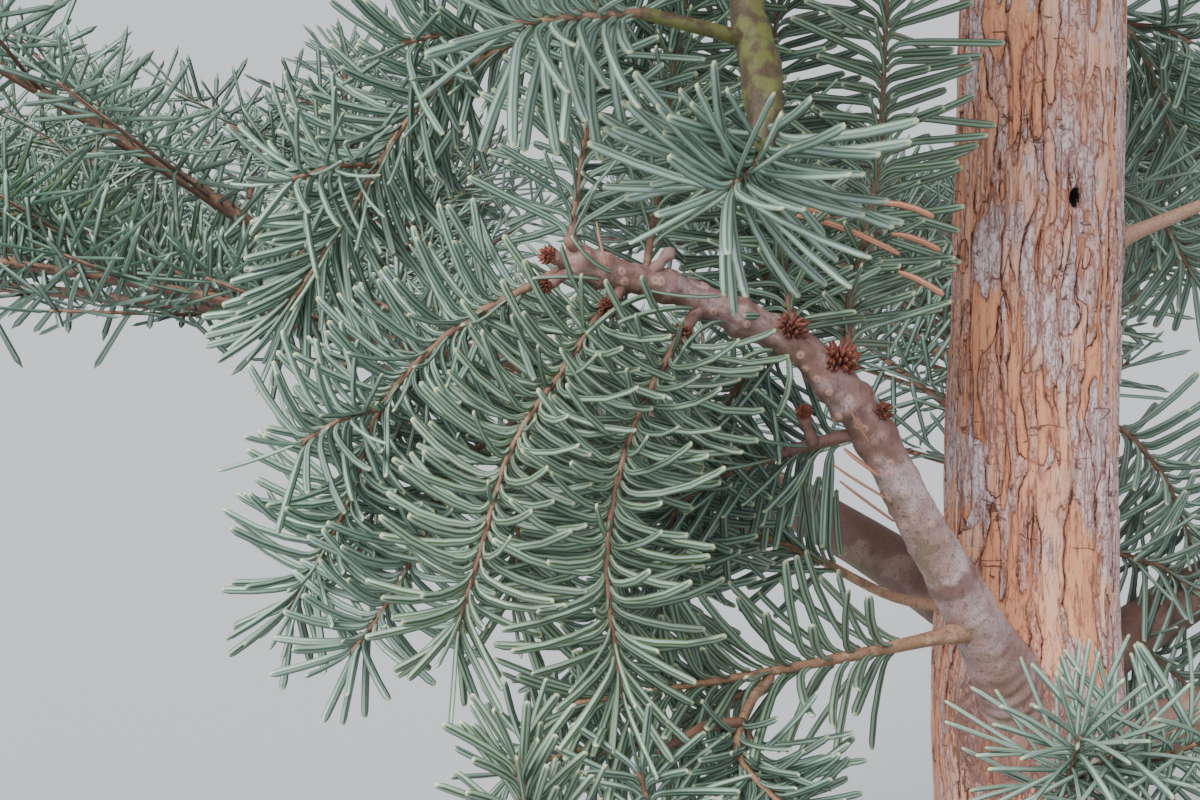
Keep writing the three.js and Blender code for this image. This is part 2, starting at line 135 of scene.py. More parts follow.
# The close-up boughs and shoots, as lines through points in millimetres, mostly as in the part
LEFT_BOUGH = [
    (-2, -15, 412), (-16, -36, 432), (-41, -54, 472), (-68, -67, 517), (-83, -72, 533), (-102, -79, 543),
]
KNOT = [(-102, -79, 543), (-120, -86, 551), (-137, -94, 556), (-154, -100, 561)]
SIDE_LIMB = [(-24, -46, 443), (-50, -58, 440), (-83, -74, 437), (-150, -101, 432)]
FORK = [(-92, -79, 435), (-100, -89, 427), (-103, -98, 419), (-86, -113, 400)]
OLD_BOUGH = [(0, 0, 716), (-58, -92, 712), (-98, -154, 686), (-108, -171, 640), (-103, -191, 600)]
OLD_TWIG = [(-105, -180, 618), (-115, -188, 620), (-133, -195, 624)]
OLD_TIP = [(-103, -191, 600), (-104, -195, 591), (-112, -203, 582)]
OLD_SIDE = [(-133, -195, 624), (-145, -199, 623), (-163, -203, 621)]
HANGING_RIGHT = [(-114, -84, 548), (-123, -94, 533), (-134, -107, 512), (-141, -120, 480), (-137, -118, 440)]
HANGING_MIDDLE = [
    (-137, -93, 555), (-149, -100, 536), (-168, -114, 508), (-177, -121, 478), (-184, -118, 455),
]
HANGING_LEFT = [(-152, -98, 559), (-190, -86, 536), (-207, -78, 517), (-220, -69, 484), (-238, -61, 452)]
STANDING = [(-152, -98, 560), (-150, -88, 577), (-147, -79, 598), (-143, -72, 641)]
UPRIGHT_SHORT = [(-84, -72, 531), (-88, -67, 556), (-91, -64, 576)]
UPRIGHT_LONG = [(-68, -67, 519), (-67, -58, 547), (-61, -54, 571), (-55, -46, 646)]
INNER = [(-62, -64, 507), (-87, -52, 498), (-106, -46, 490), (-122, -42, 479)]
BEHIND = [(-27, -42, 448), (-46, -31, 449), (-77, -10, 461), (-110, 2, 470), (-165, 16, 482)]
UPPER_LEFT = [
    (0, 0, 690), (-70, -30, 676), (-143, -42, 637), (-196, -34, 609), (-225, -30, 567), (-245, -27, 538),
]
LOW_FRONT = [(0, 0, 366), (-4, -60, 388), (-8, -112, 416), (-10, -132, 430)]
LOW_FRONT_FORK = [(-6, -86, 401), (0, -105, 414), (4, -122, 424)]
LOW_LEFT = [(0, 0, 352), (-62, -66, 360), (-122, -126, 376), (-158, -154, 400), (-165, -161, 432)]
DEAD_TWIG = [(10, 0, 556), (33, -4, 566), (56, -8, 576)]
UPPER_LEFT_PALE = [(-213, -32, 587), (-224, -42, 587), (-237, -51, 583)]
UPPER_LEFT_HIGH = [(-176, -38, 624), (-189, -46, 627), (-203, -52, 624)]
HANGING_SIDE = [(-206, -78, 516), (-217, -86, 514), (-230, -91, 507)]
HANGING_BEHIND = [(-160, -52, 515), (-187, -62, 495), (-197, -70, 475), (-206, -76, 458), (-217, -84, 443)]
UNDER_LIMB = [(-92, -79, 434), (-113, -76, 422), (-134, -73, 412), (-155, -71, 408)]
UNDER_LIMB_SIDE = [(-128, -74, 415), (-150, -82, 413), (-170, -90, 408)]
UNDER_FORK = [(-100, -90, 423), (-95, -101, 411), (-85, -107, 396)]
LOW_LEFT_SIDE = [(-108, -110, 370), (-124, -118, 392), (-132, -124, 418)]
RIGHT_STAR = [(14, 22, 655), (34, 50, 641), (46, 55, 628), (56, 56, 603), (60, 59, 589)]
RIGHT_STAR_SIDE = [(40, 53, 636), (52, 46, 634), (60, 42, 629)]
RIGHT_MIDDLE = [(16, 24, 500), (34, 26, 498), (48, 24, 484), (62, 27, 455)]
RIGHT_LOW = [(20, 12, 462), (36, 16, 455), (50, 19, 450), (66, 23, 436)]
FRONT_RIGHT = [(-4, -60, 388), (10, -88, 408), (24, -119, 424), (31, -126, 430)]
FRONT_LOW = [(-2, -52, 384), (8, -92, 396), (14, -118, 404)]
OLD_INNER = [(-72, -114, 706), (-98, -122, 690), (-122, -128, 664)]
UPRIGHT_BACK = [(-84, -72, 531), (-94, -50, 560), (-92, -32, 600), (-84, -22, 655)]
STANDING_BACK = [(-130, -91, 555), (-126, -70, 580), (-120, -50, 620), (-112, -40, 660)]
RIGHT_UNDER = [(22, 14, 430), (40, 22, 424), (56, 26, 412), (70, 30, 398)]
RIGHT_HIGH = [(14, 22, 585), (34, 40, 580), (50, 44, 570), (64, 44, 548)]
BACK_RIGHT = [(-83, -72, 533), (-95, -50, 525), (-112, -42, 500), (-122, -44, 470), (-124, -50, 440)]
BACK_MIDDLE = [(-130, -91, 554), (-140, -66, 546), (-156, -52, 520), (-166, -52, 490), (-170, -58, 455)]
BACK_LEFT = [(-190, -86, 536), (-198, -62, 524), (-208, -46, 500), (-218, -40, 466)]
BACK_LOW = [(-106, -46, 490), (-122, -30, 470), (-140, -24, 448), (-150, -24, 424)]

# Each close-up shoot: its line, its radius in millimetres at the root, its bare share, how far its needles
# are combed to the sides, how far they lift to the sky, its tint, how dense they are and their size
CLOSE_SHOOTS = [
    (HANGING_RIGHT, 1.2, 0.06, 0.9, 0.45, 2, 1.0, 1.0),
    (HANGING_MIDDLE, 1.2, 0.08, 0.9, 0.45, 2, 1.0, 1.0),
    (HANGING_LEFT, 1.4, 0.1, 0.95, 0.5, 0, 1.0, 1.0),
    (HANGING_SIDE, 0.9, 0.1, 0.6, 0.3, 1, 1.0, 0.9),
    (HANGING_BEHIND, 1.2, 0.3, 0.8, 0.3, 1, 1.0, 0.95),
    (STANDING, 1.3, 0.06, 0.2, 0.2, 0, 1.0, 0.95),
    (UPRIGHT_SHORT, 1.2, 0.1, 0.2, 0.2, 2, 1.0, 0.9),
    (UPRIGHT_LONG, 1.4, 0.1, 0.15, 0.2, 2, 1.0, 1.0),
    (UPRIGHT_BACK, 1.3, 0.08, 0.3, 0.2, 0, 1.0, 1.0),
    (STANDING_BACK, 1.3, 0.08, 0.3, 0.2, 2, 1.0, 1.0),
    (INNER, 1.6, 0.12, 0.8, 0.2, 0, 1.0, 0.95),
    (BEHIND, 2.0, 0.3, 0.9, 0.2, 0, 1.0, 1.0),
    (SIDE_LIMB, 2.6, 0.2, 0.85, 0.35, 2, 0.62, 1.15),
    (FORK, 1.7, 0.3, 0.7, 0.0, 0, 1.0, 0.85),
    (UNDER_LIMB, 1.2, 0.12, 0.7, 0.0, 0, 1.0, 0.95),
    (UNDER_LIMB_SIDE, 1.0, 0.2, 0.7, 0.1, 0, 1.0, 0.9),
    (UNDER_FORK, 1.0, 0.1, 0.5, 0.0, 0, 1.0, 0.9),
    (OLD_TIP, 1.0, 0.05, 0.75, 0.0, 1, 2.5, 1.1),
    (OLD_SIDE, 1.2, 0.05, 0.5, 0.0, 1, 1.3, 1.05),
    (OLD_INNER, 1.6, 0.3, 0.5, 0.2, 1, 1.0, 0.95),
    (UPPER_LEFT, 2.6, 0.32, 0.9, 0.3, 0, 1.0, 1.05),
    (UPPER_LEFT_PALE, 1.0, 0.1, 0.4, 0.2, 1, 1.0, 0.9),
    (UPPER_LEFT_HIGH, 1.0, 0.1, 0.4, 0.3, 0, 1.0, 1.0),
    (LOW_FRONT, 1.5, 0.55, 0.2, 0.2, 1, 0.8, 1.15),
    (LOW_FRONT_FORK, 1.4, 0.3, 0.2, 0.2, 1, 0.8, 1.15),
    (FRONT_RIGHT, 1.3, 0.4, 0.2, 0.3, 1, 0.8, 1.15),
    (FRONT_LOW, 1.3, 0.4, 0.3, 0.2, 0, 0.8, 1.1),
    (LOW_LEFT, 2.2, 0.6, 0.8, 0.1, 2, 1.0, 1.0),
    (LOW_LEFT_SIDE, 1.3, 0.2, 0.6, 0.2, 0, 1.0, 0.95),
    (RIGHT_STAR, 1.6, 0.3, 0.2, 0.0, 0, 1.0, 1.0),
    (RIGHT_STAR_SIDE, 1.0, 0.3, 0.1, 0.0, 0, 1.0, 1.0),
    (RIGHT_MIDDLE, 1.5, 0.25, 0.6, 0.1, 1, 1.0, 0.95),
    (RIGHT_LOW, 1.4, 0.25, 0.6, 0.1, 1, 1.0, 0.95),
    (RIGHT_UNDER, 1.4, 0.2, 0.6, 0.1, 0, 1.0, 0.95),
    (RIGHT_HIGH, 1.4, 0.25, 0.6, 0.0, 1, 1.0, 1.0),
    (BACK_RIGHT, 1.3, 0.1, 0.7, 0.3, 0, 1.0, 1.0),
    (BACK_MIDDLE, 1.3, 0.1, 0.7, 0.3, 2, 1.0, 1.0),
    (BACK_LEFT, 1.2, 0.1, 0.7, 0.3, 0, 1.0, 1.0),
    (BACK_LOW, 1.2, 0.1, 0.7, 0.2, 0, 1.0, 1.0),
]

# Single needles left on the old bark, each by its root, its knee and its tip
LIVE_NEEDLES = [
    [(-139, -99, 557), (-147, -110, 560), (-151, -111, 568)],
    [(-143, -101, 555), (-151, -111, 557), (-162, -113, 556)],
    [(-129, -95, 550), (-137, -106, 550), (-147, -110, 540)],
    [(-116, -89, 546), (-126, -101, 548), (-138, -106, 543)],
    [(-107, -86, 542), (-116, -96, 543), (-123, -98, 528)],
    [(-92, -80, 533), (-100, -89, 535), (-115, -94, 521)],
    [(-88, -78, 532), (-85, -83, 524), (-91, -83, 514)],
    [(-114, -88, 538), (-117, -95, 524), (-118, -93, 508)],
    [(-130, -96, 552), (-117, -97, 549), (-108, -93, 550)],
    [(-79, -63, 499), (-82, -62, 489), (-89, -63, 484)],
    [(-78, -54, 490), (-77, -52, 478), (-76, -50, 470)],
    [(-70, -53, 488), (-70, -51, 478), (-68, -48, 466)],
]
DEAD_NEEDLES = [
    [(-144, -104, 572), (-143, -105, 565), (-141, -104, 559)],
    [(-69, -74, 516), (-66, -74, 510), (-62, -72, 504)],
    [(-70, -72, 503), (-67, -71, 500), (-57, -64, 493)],
    [(-73, -71, 498), (-68, -70, 494), (-55, -63, 486)],
    [(-71, -70, 493), (-65, -68, 488), (-53, -61, 479)],
    [(-88, -72, 573), (-72, -72, 571), (-54, -73, 561)],
    [(-75, -71, 577), (-70, -72, 576), (-67, -72, 573)],
    [(-61, -72, 576), (-53, -72, 577), (-44, -72, 572)],
    [(-57, -72, 567), (-50, -73, 567), (-42, -73, 562)],
    [(-55, -74, 556), (-48, -74, 554), (-41, -74, 549)],
    [(-93, -72, 576), (-84, -72, 577), (-75, -72, 572)],
]

# Spurs of the left bough, and last a brown stub under it
SPURS = [
    [(-134, -93, 557), (-138, -97, 551), (-140, -99, 548)],
    [(-112, -84, 548), (-116, -87, 543), (-119, -89, 540)],
    [(-129, -91, 556), (-125, -91, 560), (-122, -91, 563)],
    [(-148, -99, 558), (-153, -102, 560), (-157, -104, 562)],
    [(-147, -98, 560), (-150, -101, 564), (-152, -103, 567)],
    [(-149, -99, 558), (-154, -103, 556), (-158, -105, 554)],
    [(-69, -67, 517), (-62, -68, 514), (-59, -69, 514)],
    [(-66, -63, 506), (-77, -58, 503), (-88, -53, 499)],
    [(-78, -59, 503), (-80, -61, 508), (-81, -62, 512)],
    [(-101, -92, 424), (-112, -104, 426), (-127, -118, 422)],
]

# Clusters of bud scales: the middle, the way that they open and their size
SCALE_CLUSTERS = [
    ((-87, -76, 537), (0.1, -0.3, 1.0), 1.0),
    ((-72, -71, 527), (0.1, -0.4, 1.0), 1.2),
    ((-140, -99, 548), (-0.4, -0.5, -0.8), 0.6),
    ((-119, -89, 540), (-0.4, -0.5, -0.8), 0.6),
    ((-59, -69, 514), (1.0, -0.4, 0.0), 0.6),
    ((-157, -104, 562), (-1.0, -0.3, 0.2), 0.5),
    ((-158, -105, 554), (-1.0, -0.4, -0.4), 0.5),
    ((-81, -62, 512), (-0.2, -0.4, 1.0), 0.5),
]

UP = np.array([0.0, 0.0, 1.0])
ALONG_X = np.array([1.0, 0.0, 0.0])
TOWARDS_VIEWER = np.array([0.0, -0.97, 0.24])

# Shoots of a greater radius at the root than these, in millimetres, have older bark with needles that
# bend out less, and a flare
OLDER_SHOOT = 1.5
FLARED_SHOOT = 2

# Points along a line where no other number is given, and the golden angle's share of a turn
LINE_POINTS = 33
GOLDEN_SHARE = 0.381966

NEEDLE_ROOT_COLOR = (0.2, 0.21, 0.1)
SCALES_PER_CLUSTER = 60

# Twigs shorter than these are left out, on boughs and on twigs
SHORTEST_TWIG = 0.03
SHORTEST_SIDE_TWIG = 0.022

# Width of the crown's needles, and of those on boughs that root above a height
CROWN_NEEDLE_WIDTH = 0.003
HIGH_NEEDLE_WIDTH = 0.0034
HIGH_BOUGHS = 1.0

# The leader: the way from its root to its tip, its radii there, how far up the trunk its needles start and
# how many are on a metre
LEADER_WAY = (0.004, 0.002, 0.284)
LEADER_RADII = (0.0046, 0.0022)
LEADER_NEEDLES_START = 1.93
LEADER_PER_METRE = 1500

# The left bough's leaf scars: how many, and their radius in millimetres
LEAF_SCARS = 96
LEAF_SCAR_RADIUS = 1.4

# The stage: the floor, the suns by name, aim and spread in degrees, and the photograph's camera, with its
# lens and sensor in millimetres
FLOOR_RADIUS = 30.0
FLOOR_SIDES = 96
FLOOR_DROP = 0.0005
SKY_COLOR = (0.9, 0.94, 1.0)
SUNS = [("key", (0.55, 0.75, -0.95), 38), ("fill", (-0.7, 0.6, -0.45), 90)]
CAMERA_PLACE = (-0.143, -0.7459, 0.5884)
CAMERA_TILT = math.radians(84)
CAMERA_LENS = 68
CAMERA_SENSOR = 36

# Where along the left bough its knot starts, and every swelling's share of the length, rise and half length
KNOT_SHARE = 0.755
LEFT_BOUGH_SWELLINGS = [
    (0.565, 1.7, 0.012),
    (0.6, 1.0, 0.02),
    (0.505, 0.9, 0.016),
    (0.28, 0.5, 0.02),
    (0.755, 1.2, 0.012),
    (0.86, 1.0, 0.01),
    (0.945, 1.3, 0.012),
    (0.98, 1.4, 0.02),
]


def linear(red, green, blue):
    """The scene-linear colour of an sRGB colour given as 11 to 255."""
    return tuple(((c / 255 + 0.055) / 1.055) ** 2.4 for c in (red, green, blue))


class TrunkSettings(bpy.types.PropertyGroup):
    strip_width: bpy.props.FloatProperty(
        name="Strip width", description="Width of a broad strip at the waist", default=0.0063, unit="LENGTH"
    )
    strip_height: bpy.props.FloatProperty(
        name="Strip height", description="Height of a broad strip of bark", default=0.046, unit="LENGTH"
    )
    crack_depth: bpy.props.FloatProperty(
        name="Crack depth", description="Depth of the cracks between strips", default=0.0008, unit="LENGTH"
    )
    orange: bpy.props.FloatVectorProperty(
        name="Fresh bark", description="Fresh strips' colour", default=linear(250, 178, 138), subtype="COLOR"
    )
    grey: bpy.props.FloatVectorProperty(
        name="Old bark", description="Colour of old strips", default=linear(246, 226, 229), subtype="COLOR"
    )
    # The crack colour is partly the cracks' own dark bark and partly painted shade in their depth
    crack_and_shade: bpy.props.FloatVectorProperty(
        name="Cracks", description="Colour deep in the cracks", default=linear(84, 50, 40), subtype="COLOR"
    )


class BoughSettings(bpy.types.PropertyGroup):
    bark: bpy.props.FloatVectorProperty(
        name="Bark", description="Colour of the smooth bark", default=linear(176, 140, 134), subtype="COLOR"
    )
    patch: bpy.props.FloatVectorProperty(
        name="Pale patches", description="Patches' colour", default=linear(206, 180, 182), subtype="COLOR"
    )
    moss: bpy.props.FloatVectorProperty(
        name="Green film", description="Colour of the film", default=linear(100, 106, 50), subtype="COLOR"
    )
    twig: bpy.props.FloatVectorProperty(
        name="Twigs", description="Colour of the young twigs", default=linear(126, 92, 76), subtype="COLOR"
    )


class NeedleSettings(bpy.types.PropertyGroup):
    length: bpy.props.FloatProperty(
        name="Length", description="Length of a needle", default=0.033, unit="LENGTH"
    )
    width: bpy.props.FloatProperty(
        name="Width", description="Width of a needle", default=0.0026, unit="LENGTH"
    )
    near_per_metre: bpy.props.FloatProperty(
        name="Close needles per metre", description="Needles on a metre of close-up shoot", default=950
    )
    far_per_metre: bpy.props.FloatProperty(
        name="Crown needles per metre", description="Needles on a metre of crown twig", default=430
    )
    blue: bpy.props.FloatVectorProperty(
        name="Blue-green", description="Colour of most sprays", default=linear(71, 100, 80), subtype="COLOR"
    )
    grey: bpy.props.FloatVectorProperty(
        name="Grey-green", description="Colour of waxy sprays", default=linear(96, 122, 106), subtype="COLOR"
    )
    green: bpy.props.FloatVectorProperty(
        name="Green", description="Colour of greener sprays", default=linear(76, 101, 66), subtype="COLOR"
    )
    wax: bpy.props.FloatVectorProperty(
        name="Wax", description="Colour of the pale bands", default=linear(186, 209, 198), subtype="COLOR"
    )


class StageSettings(bpy.types.PropertyGroup):
    floor: bpy.props.FloatVectorProperty(
        name="Floor", description="Colour of the floor", default=(0.297, 0.306, 0.319), subtype="COLOR"
    )
    key_strength: bpy.props.FloatProperty(
        name="Key light", description="Strength of the soft light from the upper left", default=8.6
    )
    fill_strength: bpy.props.FloatProperty(
        name="Fill light", description="Strength of the light from the right", default=0.5
    )
    sky_strength: bpy.props.FloatProperty(
        name="Sky", description="Strength of the light from all round", default=0.95
    )


def chance(seed, k):
    """A repeatable number from 0 to 1: the fraction of 43758.5453 sin(12.9898 seed + 78.233 k)."""
    wave = np.sin(np.asarray(seed) * 12.9898 + np.asarray(k) * 78.233) * 43758.5453
    return wave - np.floor(wave)


def unit(vectors):
    """Each vector over its length."""
    return vectors / np.maximum(np.linalg.norm(vectors, axis=-1, keepdims=True), 1e-12)


def smooth(x):
    """3x² - 2x³ on x held to 0..1."""
    x = np.clip(x, 0, 1)
    return x * x * (3 - 2 * x)


def line_through(points, count=LINE_POINTS):
    """A smooth line: cubic Hermite through the points by chord length, resampled evenly by length."""
    knots = np.array(points, float) * MM
    chord = np.r_[0, np.cumsum(np.linalg.norm(np.diff(knots, axis=0), axis=1))]
    slope = np.gradient(knots, chord, axis=0)
    s = np.linspace(0, chord[-1], 8 * count)
    i = np.clip(np.searchsorted(chord, s, side="right") - 1, 0, len(knots) - 2)
    span = (chord[i + 1] - chord[i])[:, None]
    t = (s[:, None] - chord[i][:, None]) / span
    line = (
        (2 * t**3 - 3 * t**2 + 1) * knots[i]
        + (t**3 - 2 * t**2 + t) * span * slope[i]
        + (3 * t**2 - 2 * t**3) * knots[i + 1]
        + (t**3 - t**2) * span * slope[i + 1]
    )
    return evenly(line, count)


def evenly(line, count, start=0.0, end=1.0):
    """The line resampled at count points, even by length, between two shares of its length."""
    length = np.r_[0, np.cumsum(np.linalg.norm(np.diff(line, axis=0), axis=1))]
    s = np.linspace(start, end, count) * length[-1]
    return np.stack([np.interp(s, length, line[:, axis]) for axis in range(3)], axis=1)


def bezier(root, middle, tip, u):
    """(1-u)² root + 2u(1-u) middle + u² tip at the shares u, for whole arrays of roots and tips."""
    u = u[:, None]
    root, middle, tip = (np.asarray(p)[..., None, :] for p in (root, middle, tip))
    return (1 - u) ** 2 * root + 2 * u * (1 - u) * middle + u**2 * tip


class Surface:
    """Vertices, faces, attributes and material numbers, gathered from several skins."""

    def __init__(self):
        self.points, self.quads, self.triangles = [], [], []
        self.quad_materials, self.triangle_materials = [], []
        self.attributes = {}
        self.total = 0

    def add(self, points, quads, triangles, material=0, **attributes):
        """Adds a skin. material is one number, or one for each face in quads, then in triangles."""
        self.points.append(points)
        self.quads.append(quads + self.total)
        self.triangles.append(triangles + self.total)
        material = np.broadcast_to(material, (len(quads) + len(triangles),))
        self.quad_materials.append(material[: len(quads)])
        self.triangle_materials.append(material[len(quads) :])
        for name, values in attributes.items():
            self.attributes.setdefault(name, []).append((self.total, np.broadcast_to(values, (len(points),))))
        self.total += len(points)

    def piece(self, name, materials, slot, nodes):
        """The object: from arrays into a mesh, smooth shaded, riding on the root body."""
        points = np.concatenate(self.points)
        quads = np.concatenate(self.quads).reshape(-1, 4)
        triangles = np.concatenate(self.triangles).reshape(-1, 3)
        mesh = bpy.data.meshes.new(name)
        mesh.vertices.add(len(points))
        mesh.vertices.foreach_set("co", points.astype(np.float32).ravel())
        corners = np.concatenate([quads.ravel(), triangles.ravel()]).astype(np.int32)
        starts = np.concatenate([np.arange(len(quads)) * 4, 4 * len(quads) + np.arange(len(triangles)) * 3])
        mesh.loops.add(len(corners))
        mesh.loops.foreach_set("vertex_index", corners)
        mesh.polygons.add(len(starts))
        mesh.polygons.foreach_set("loop_start", starts.astype(np.int32))
        numbers = np.concatenate(self.quad_materials + self.triangle_materials)
        mesh.polygons.foreach_set("material_index", numbers.astype(np.int32))
        mesh.polygons.foreach_set("use_smooth", np.ones(len(starts), bool))
        for key, parts in self.attributes.items():
            values = np.zeros(len(points), np.float32)
            for first, part in parts:
                values[first : first + len(part)] = part
            mesh.attributes.new(key, "FLOAT", "POINT").data.foreach_set("value", values)
        mesh.update()
        mesh.validate()
        for material in materials:
            mesh.materials.append(material)
        obj = bpy.data.objects.new(name, mesh)
        bpy.context.scene.collection.objects.link(obj)
        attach(obj, "root")
        if nodes:
            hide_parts(*nodes)
        return obj


def skin(rings, start, end):
    """Closed tubes from rings (tubes, stations, sides, 3): quads between stations and a fan at each pole.

    Returns the points, the quads and the triangles, tube after tube.
    """
    tubes, stations, sides = rings.shape[:3]
    each = stations * sides + 2
    points = np.concatenate([rings.reshape(tubes, -1, 3), start[:, None], end[:, None]], axis=1)
    k = np.arange(sides)
    turned = (k + 1) % sides
    level = (np.arange(stations - 1) * sides)[:, None]
    quads = np.stack([level + k, level + turned, level + sides + turned, level + sides + k], axis=-1)
    last = (stations - 1) * sides
    first_fan = np.stack([np.full(sides, each - 2), turned, k], axis=-1)
    last_fan = np.stack([np.full(sides, each - 1), last + k, last + turned], axis=-1)
    fans = np.concatenate([first_fan, last_fan])
    shift = (np.arange(tubes) * each)[:, None, None]
    quads = (quads.reshape(1, -1, 4) + shift).reshape(-1, 4)
    triangles = (fans[None] + shift).reshape(-1, 3)
    return points.reshape(-1, 3), quads, triangles


def face_numbers(per_tube, stations, sides):
    """One number for each face of skin(), from one number for each tube."""
    quads = np.repeat(per_tube, (stations - 1) * sides)
    return np.concatenate([quads, np.repeat(per_tube, 2 * sides)])


def axes_along(lines, facing):
    """At each point: the tangent, the direction square to it that is nearest to facing, and the side."""
    tangent = unit(np.gradient(lines, axis=-2))
    facing = np.broadcast_to(facing, tangent.shape)
    normal = unit(facing - np.sum(facing * tangent, axis=-1, keepdims=True) * tangent)
    return tangent, normal, np.cross(tangent, normal)


def wood(surface, lines, radii, sides, material=0, facing=UP, relief=None, **attributes):
    """Round limbs along lines (limbs, stations, 3): centre + radius (cos a normal + sin a side)."""
    tangent, normal, side = axes_along(lines, facing)
    angle = 2 * math.pi * np.arange(sides) / sides
    round_ = np.cos(angle)[:, None] * normal[..., None, :] + np.sin(angle)[:, None] * side[..., None, :]
    radius = np.broadcast_to(radii, lines.shape[:2])[..., None]
    if relief is not None:
        radius = radius + relief
    rings = lines[:, :, None, :] + radius[..., None] * round_
    end = lines[:, -1] + tangent[:, -1] * radius[:, -1].mean(axis=-1, keepdims=True) * 0.6
    points, quads, triangles = skin(rings, lines[:, 0], end)
    if np.ndim(material):
        material = face_numbers(material, lines.shape[1], sides)
    surface.add(points, quads, triangles, material, **attributes)


def on_lines(lines, index, share):
    """Points on lines[index] at a share of their length, and the tangents there, by linear blending."""
    tangents = np.gradient(lines, axis=1)
    place = np.clip(share, 0, 1) * (lines.shape[1] - 1)
    low = np.minimum(place.astype(int), lines.shape[1] - 2)
    part = (place - low)[:, None]
    point = lines[index, low] * (1 - part) + lines[index, low + 1] * part
    tangent = unit(tangents[index, low] * (1 - part) + tangents[index, low + 1] * part)
    return point, tangent


# Stations along a needle at three levels of detail and along a bud scale, and the share of its width there
NEEDLE_SHAPES = {
    "near": dict(
        sides=4,
        at=[0.03, 0.08, 0.14, 0.22, 0.4, 0.66, 0.91, 0.985],
        wide=[0.7, 0.68, 0.76, 0.88, 1, 1.02, 1, 0.7],
    ),
    "middling": dict(sides=3, at=[0.2, 0.88], wide=[0.8, 1]),
    "far": dict(sides=3, at=[0.74], wide=[1]),
    "scale": dict(sides=4, at=[0.2, 0.5, 0.8], wide=[0.7, 1, 0.6]),
}


def needle_skins(surface, middle, plane, roll, shape, width, tints, shade):
    """Skins needles along their middles (needles, stations, 3), which run from the root to the tip.

    A section is flat: width across the middle, in the plane whose normal is plane, turned by roll, and
    half as thick.
    """
    form = NEEDLE_SHAPES[shape]
    sides = form["sides"]
    stations = len(form["at"])
    way = unit(np.gradient(middle, axis=1))
    across = unit(np.cross(plane[:, None], way))
    through = np.cross(way, across)
    roll = roll[:, None, None]
    rolled = np.cos(roll) * across + np.sin(roll) * through
    across, through = rolled, np.cos(roll) * through - np.sin(roll) * across
    angle = 2 * math.pi * np.arange(sides) / sides
    half = np.array(form["wide"])[:, None, None] * (width / 2)[:, None, None, None]
    rings = middle[:, 1:-1, None] + half * (
        np.cos(angle)[:, None] * across[:, 1:-1, None] + 0.5 * np.sin(angle)[:, None] * through[:, 1:-1, None]
    )
    points, quads, triangles = skin(rings, middle[:, 0], middle[:, -1])
    along = np.concatenate([np.repeat(form["at"], sides), [0, 1]])
    over = np.concatenate([np.tile(np.abs(np.cos(angle)) > 0.75, stations), [0.5, 0.5]])
    surface.add(
        points,
        quads,
        triangles,
        face_numbers(tints, stations, sides),
        along=np.tile(along, len(middle)),
        over=np.tile(over, len(middle)),
        shade=np.repeat(shade, stations * sides + 2),
    )


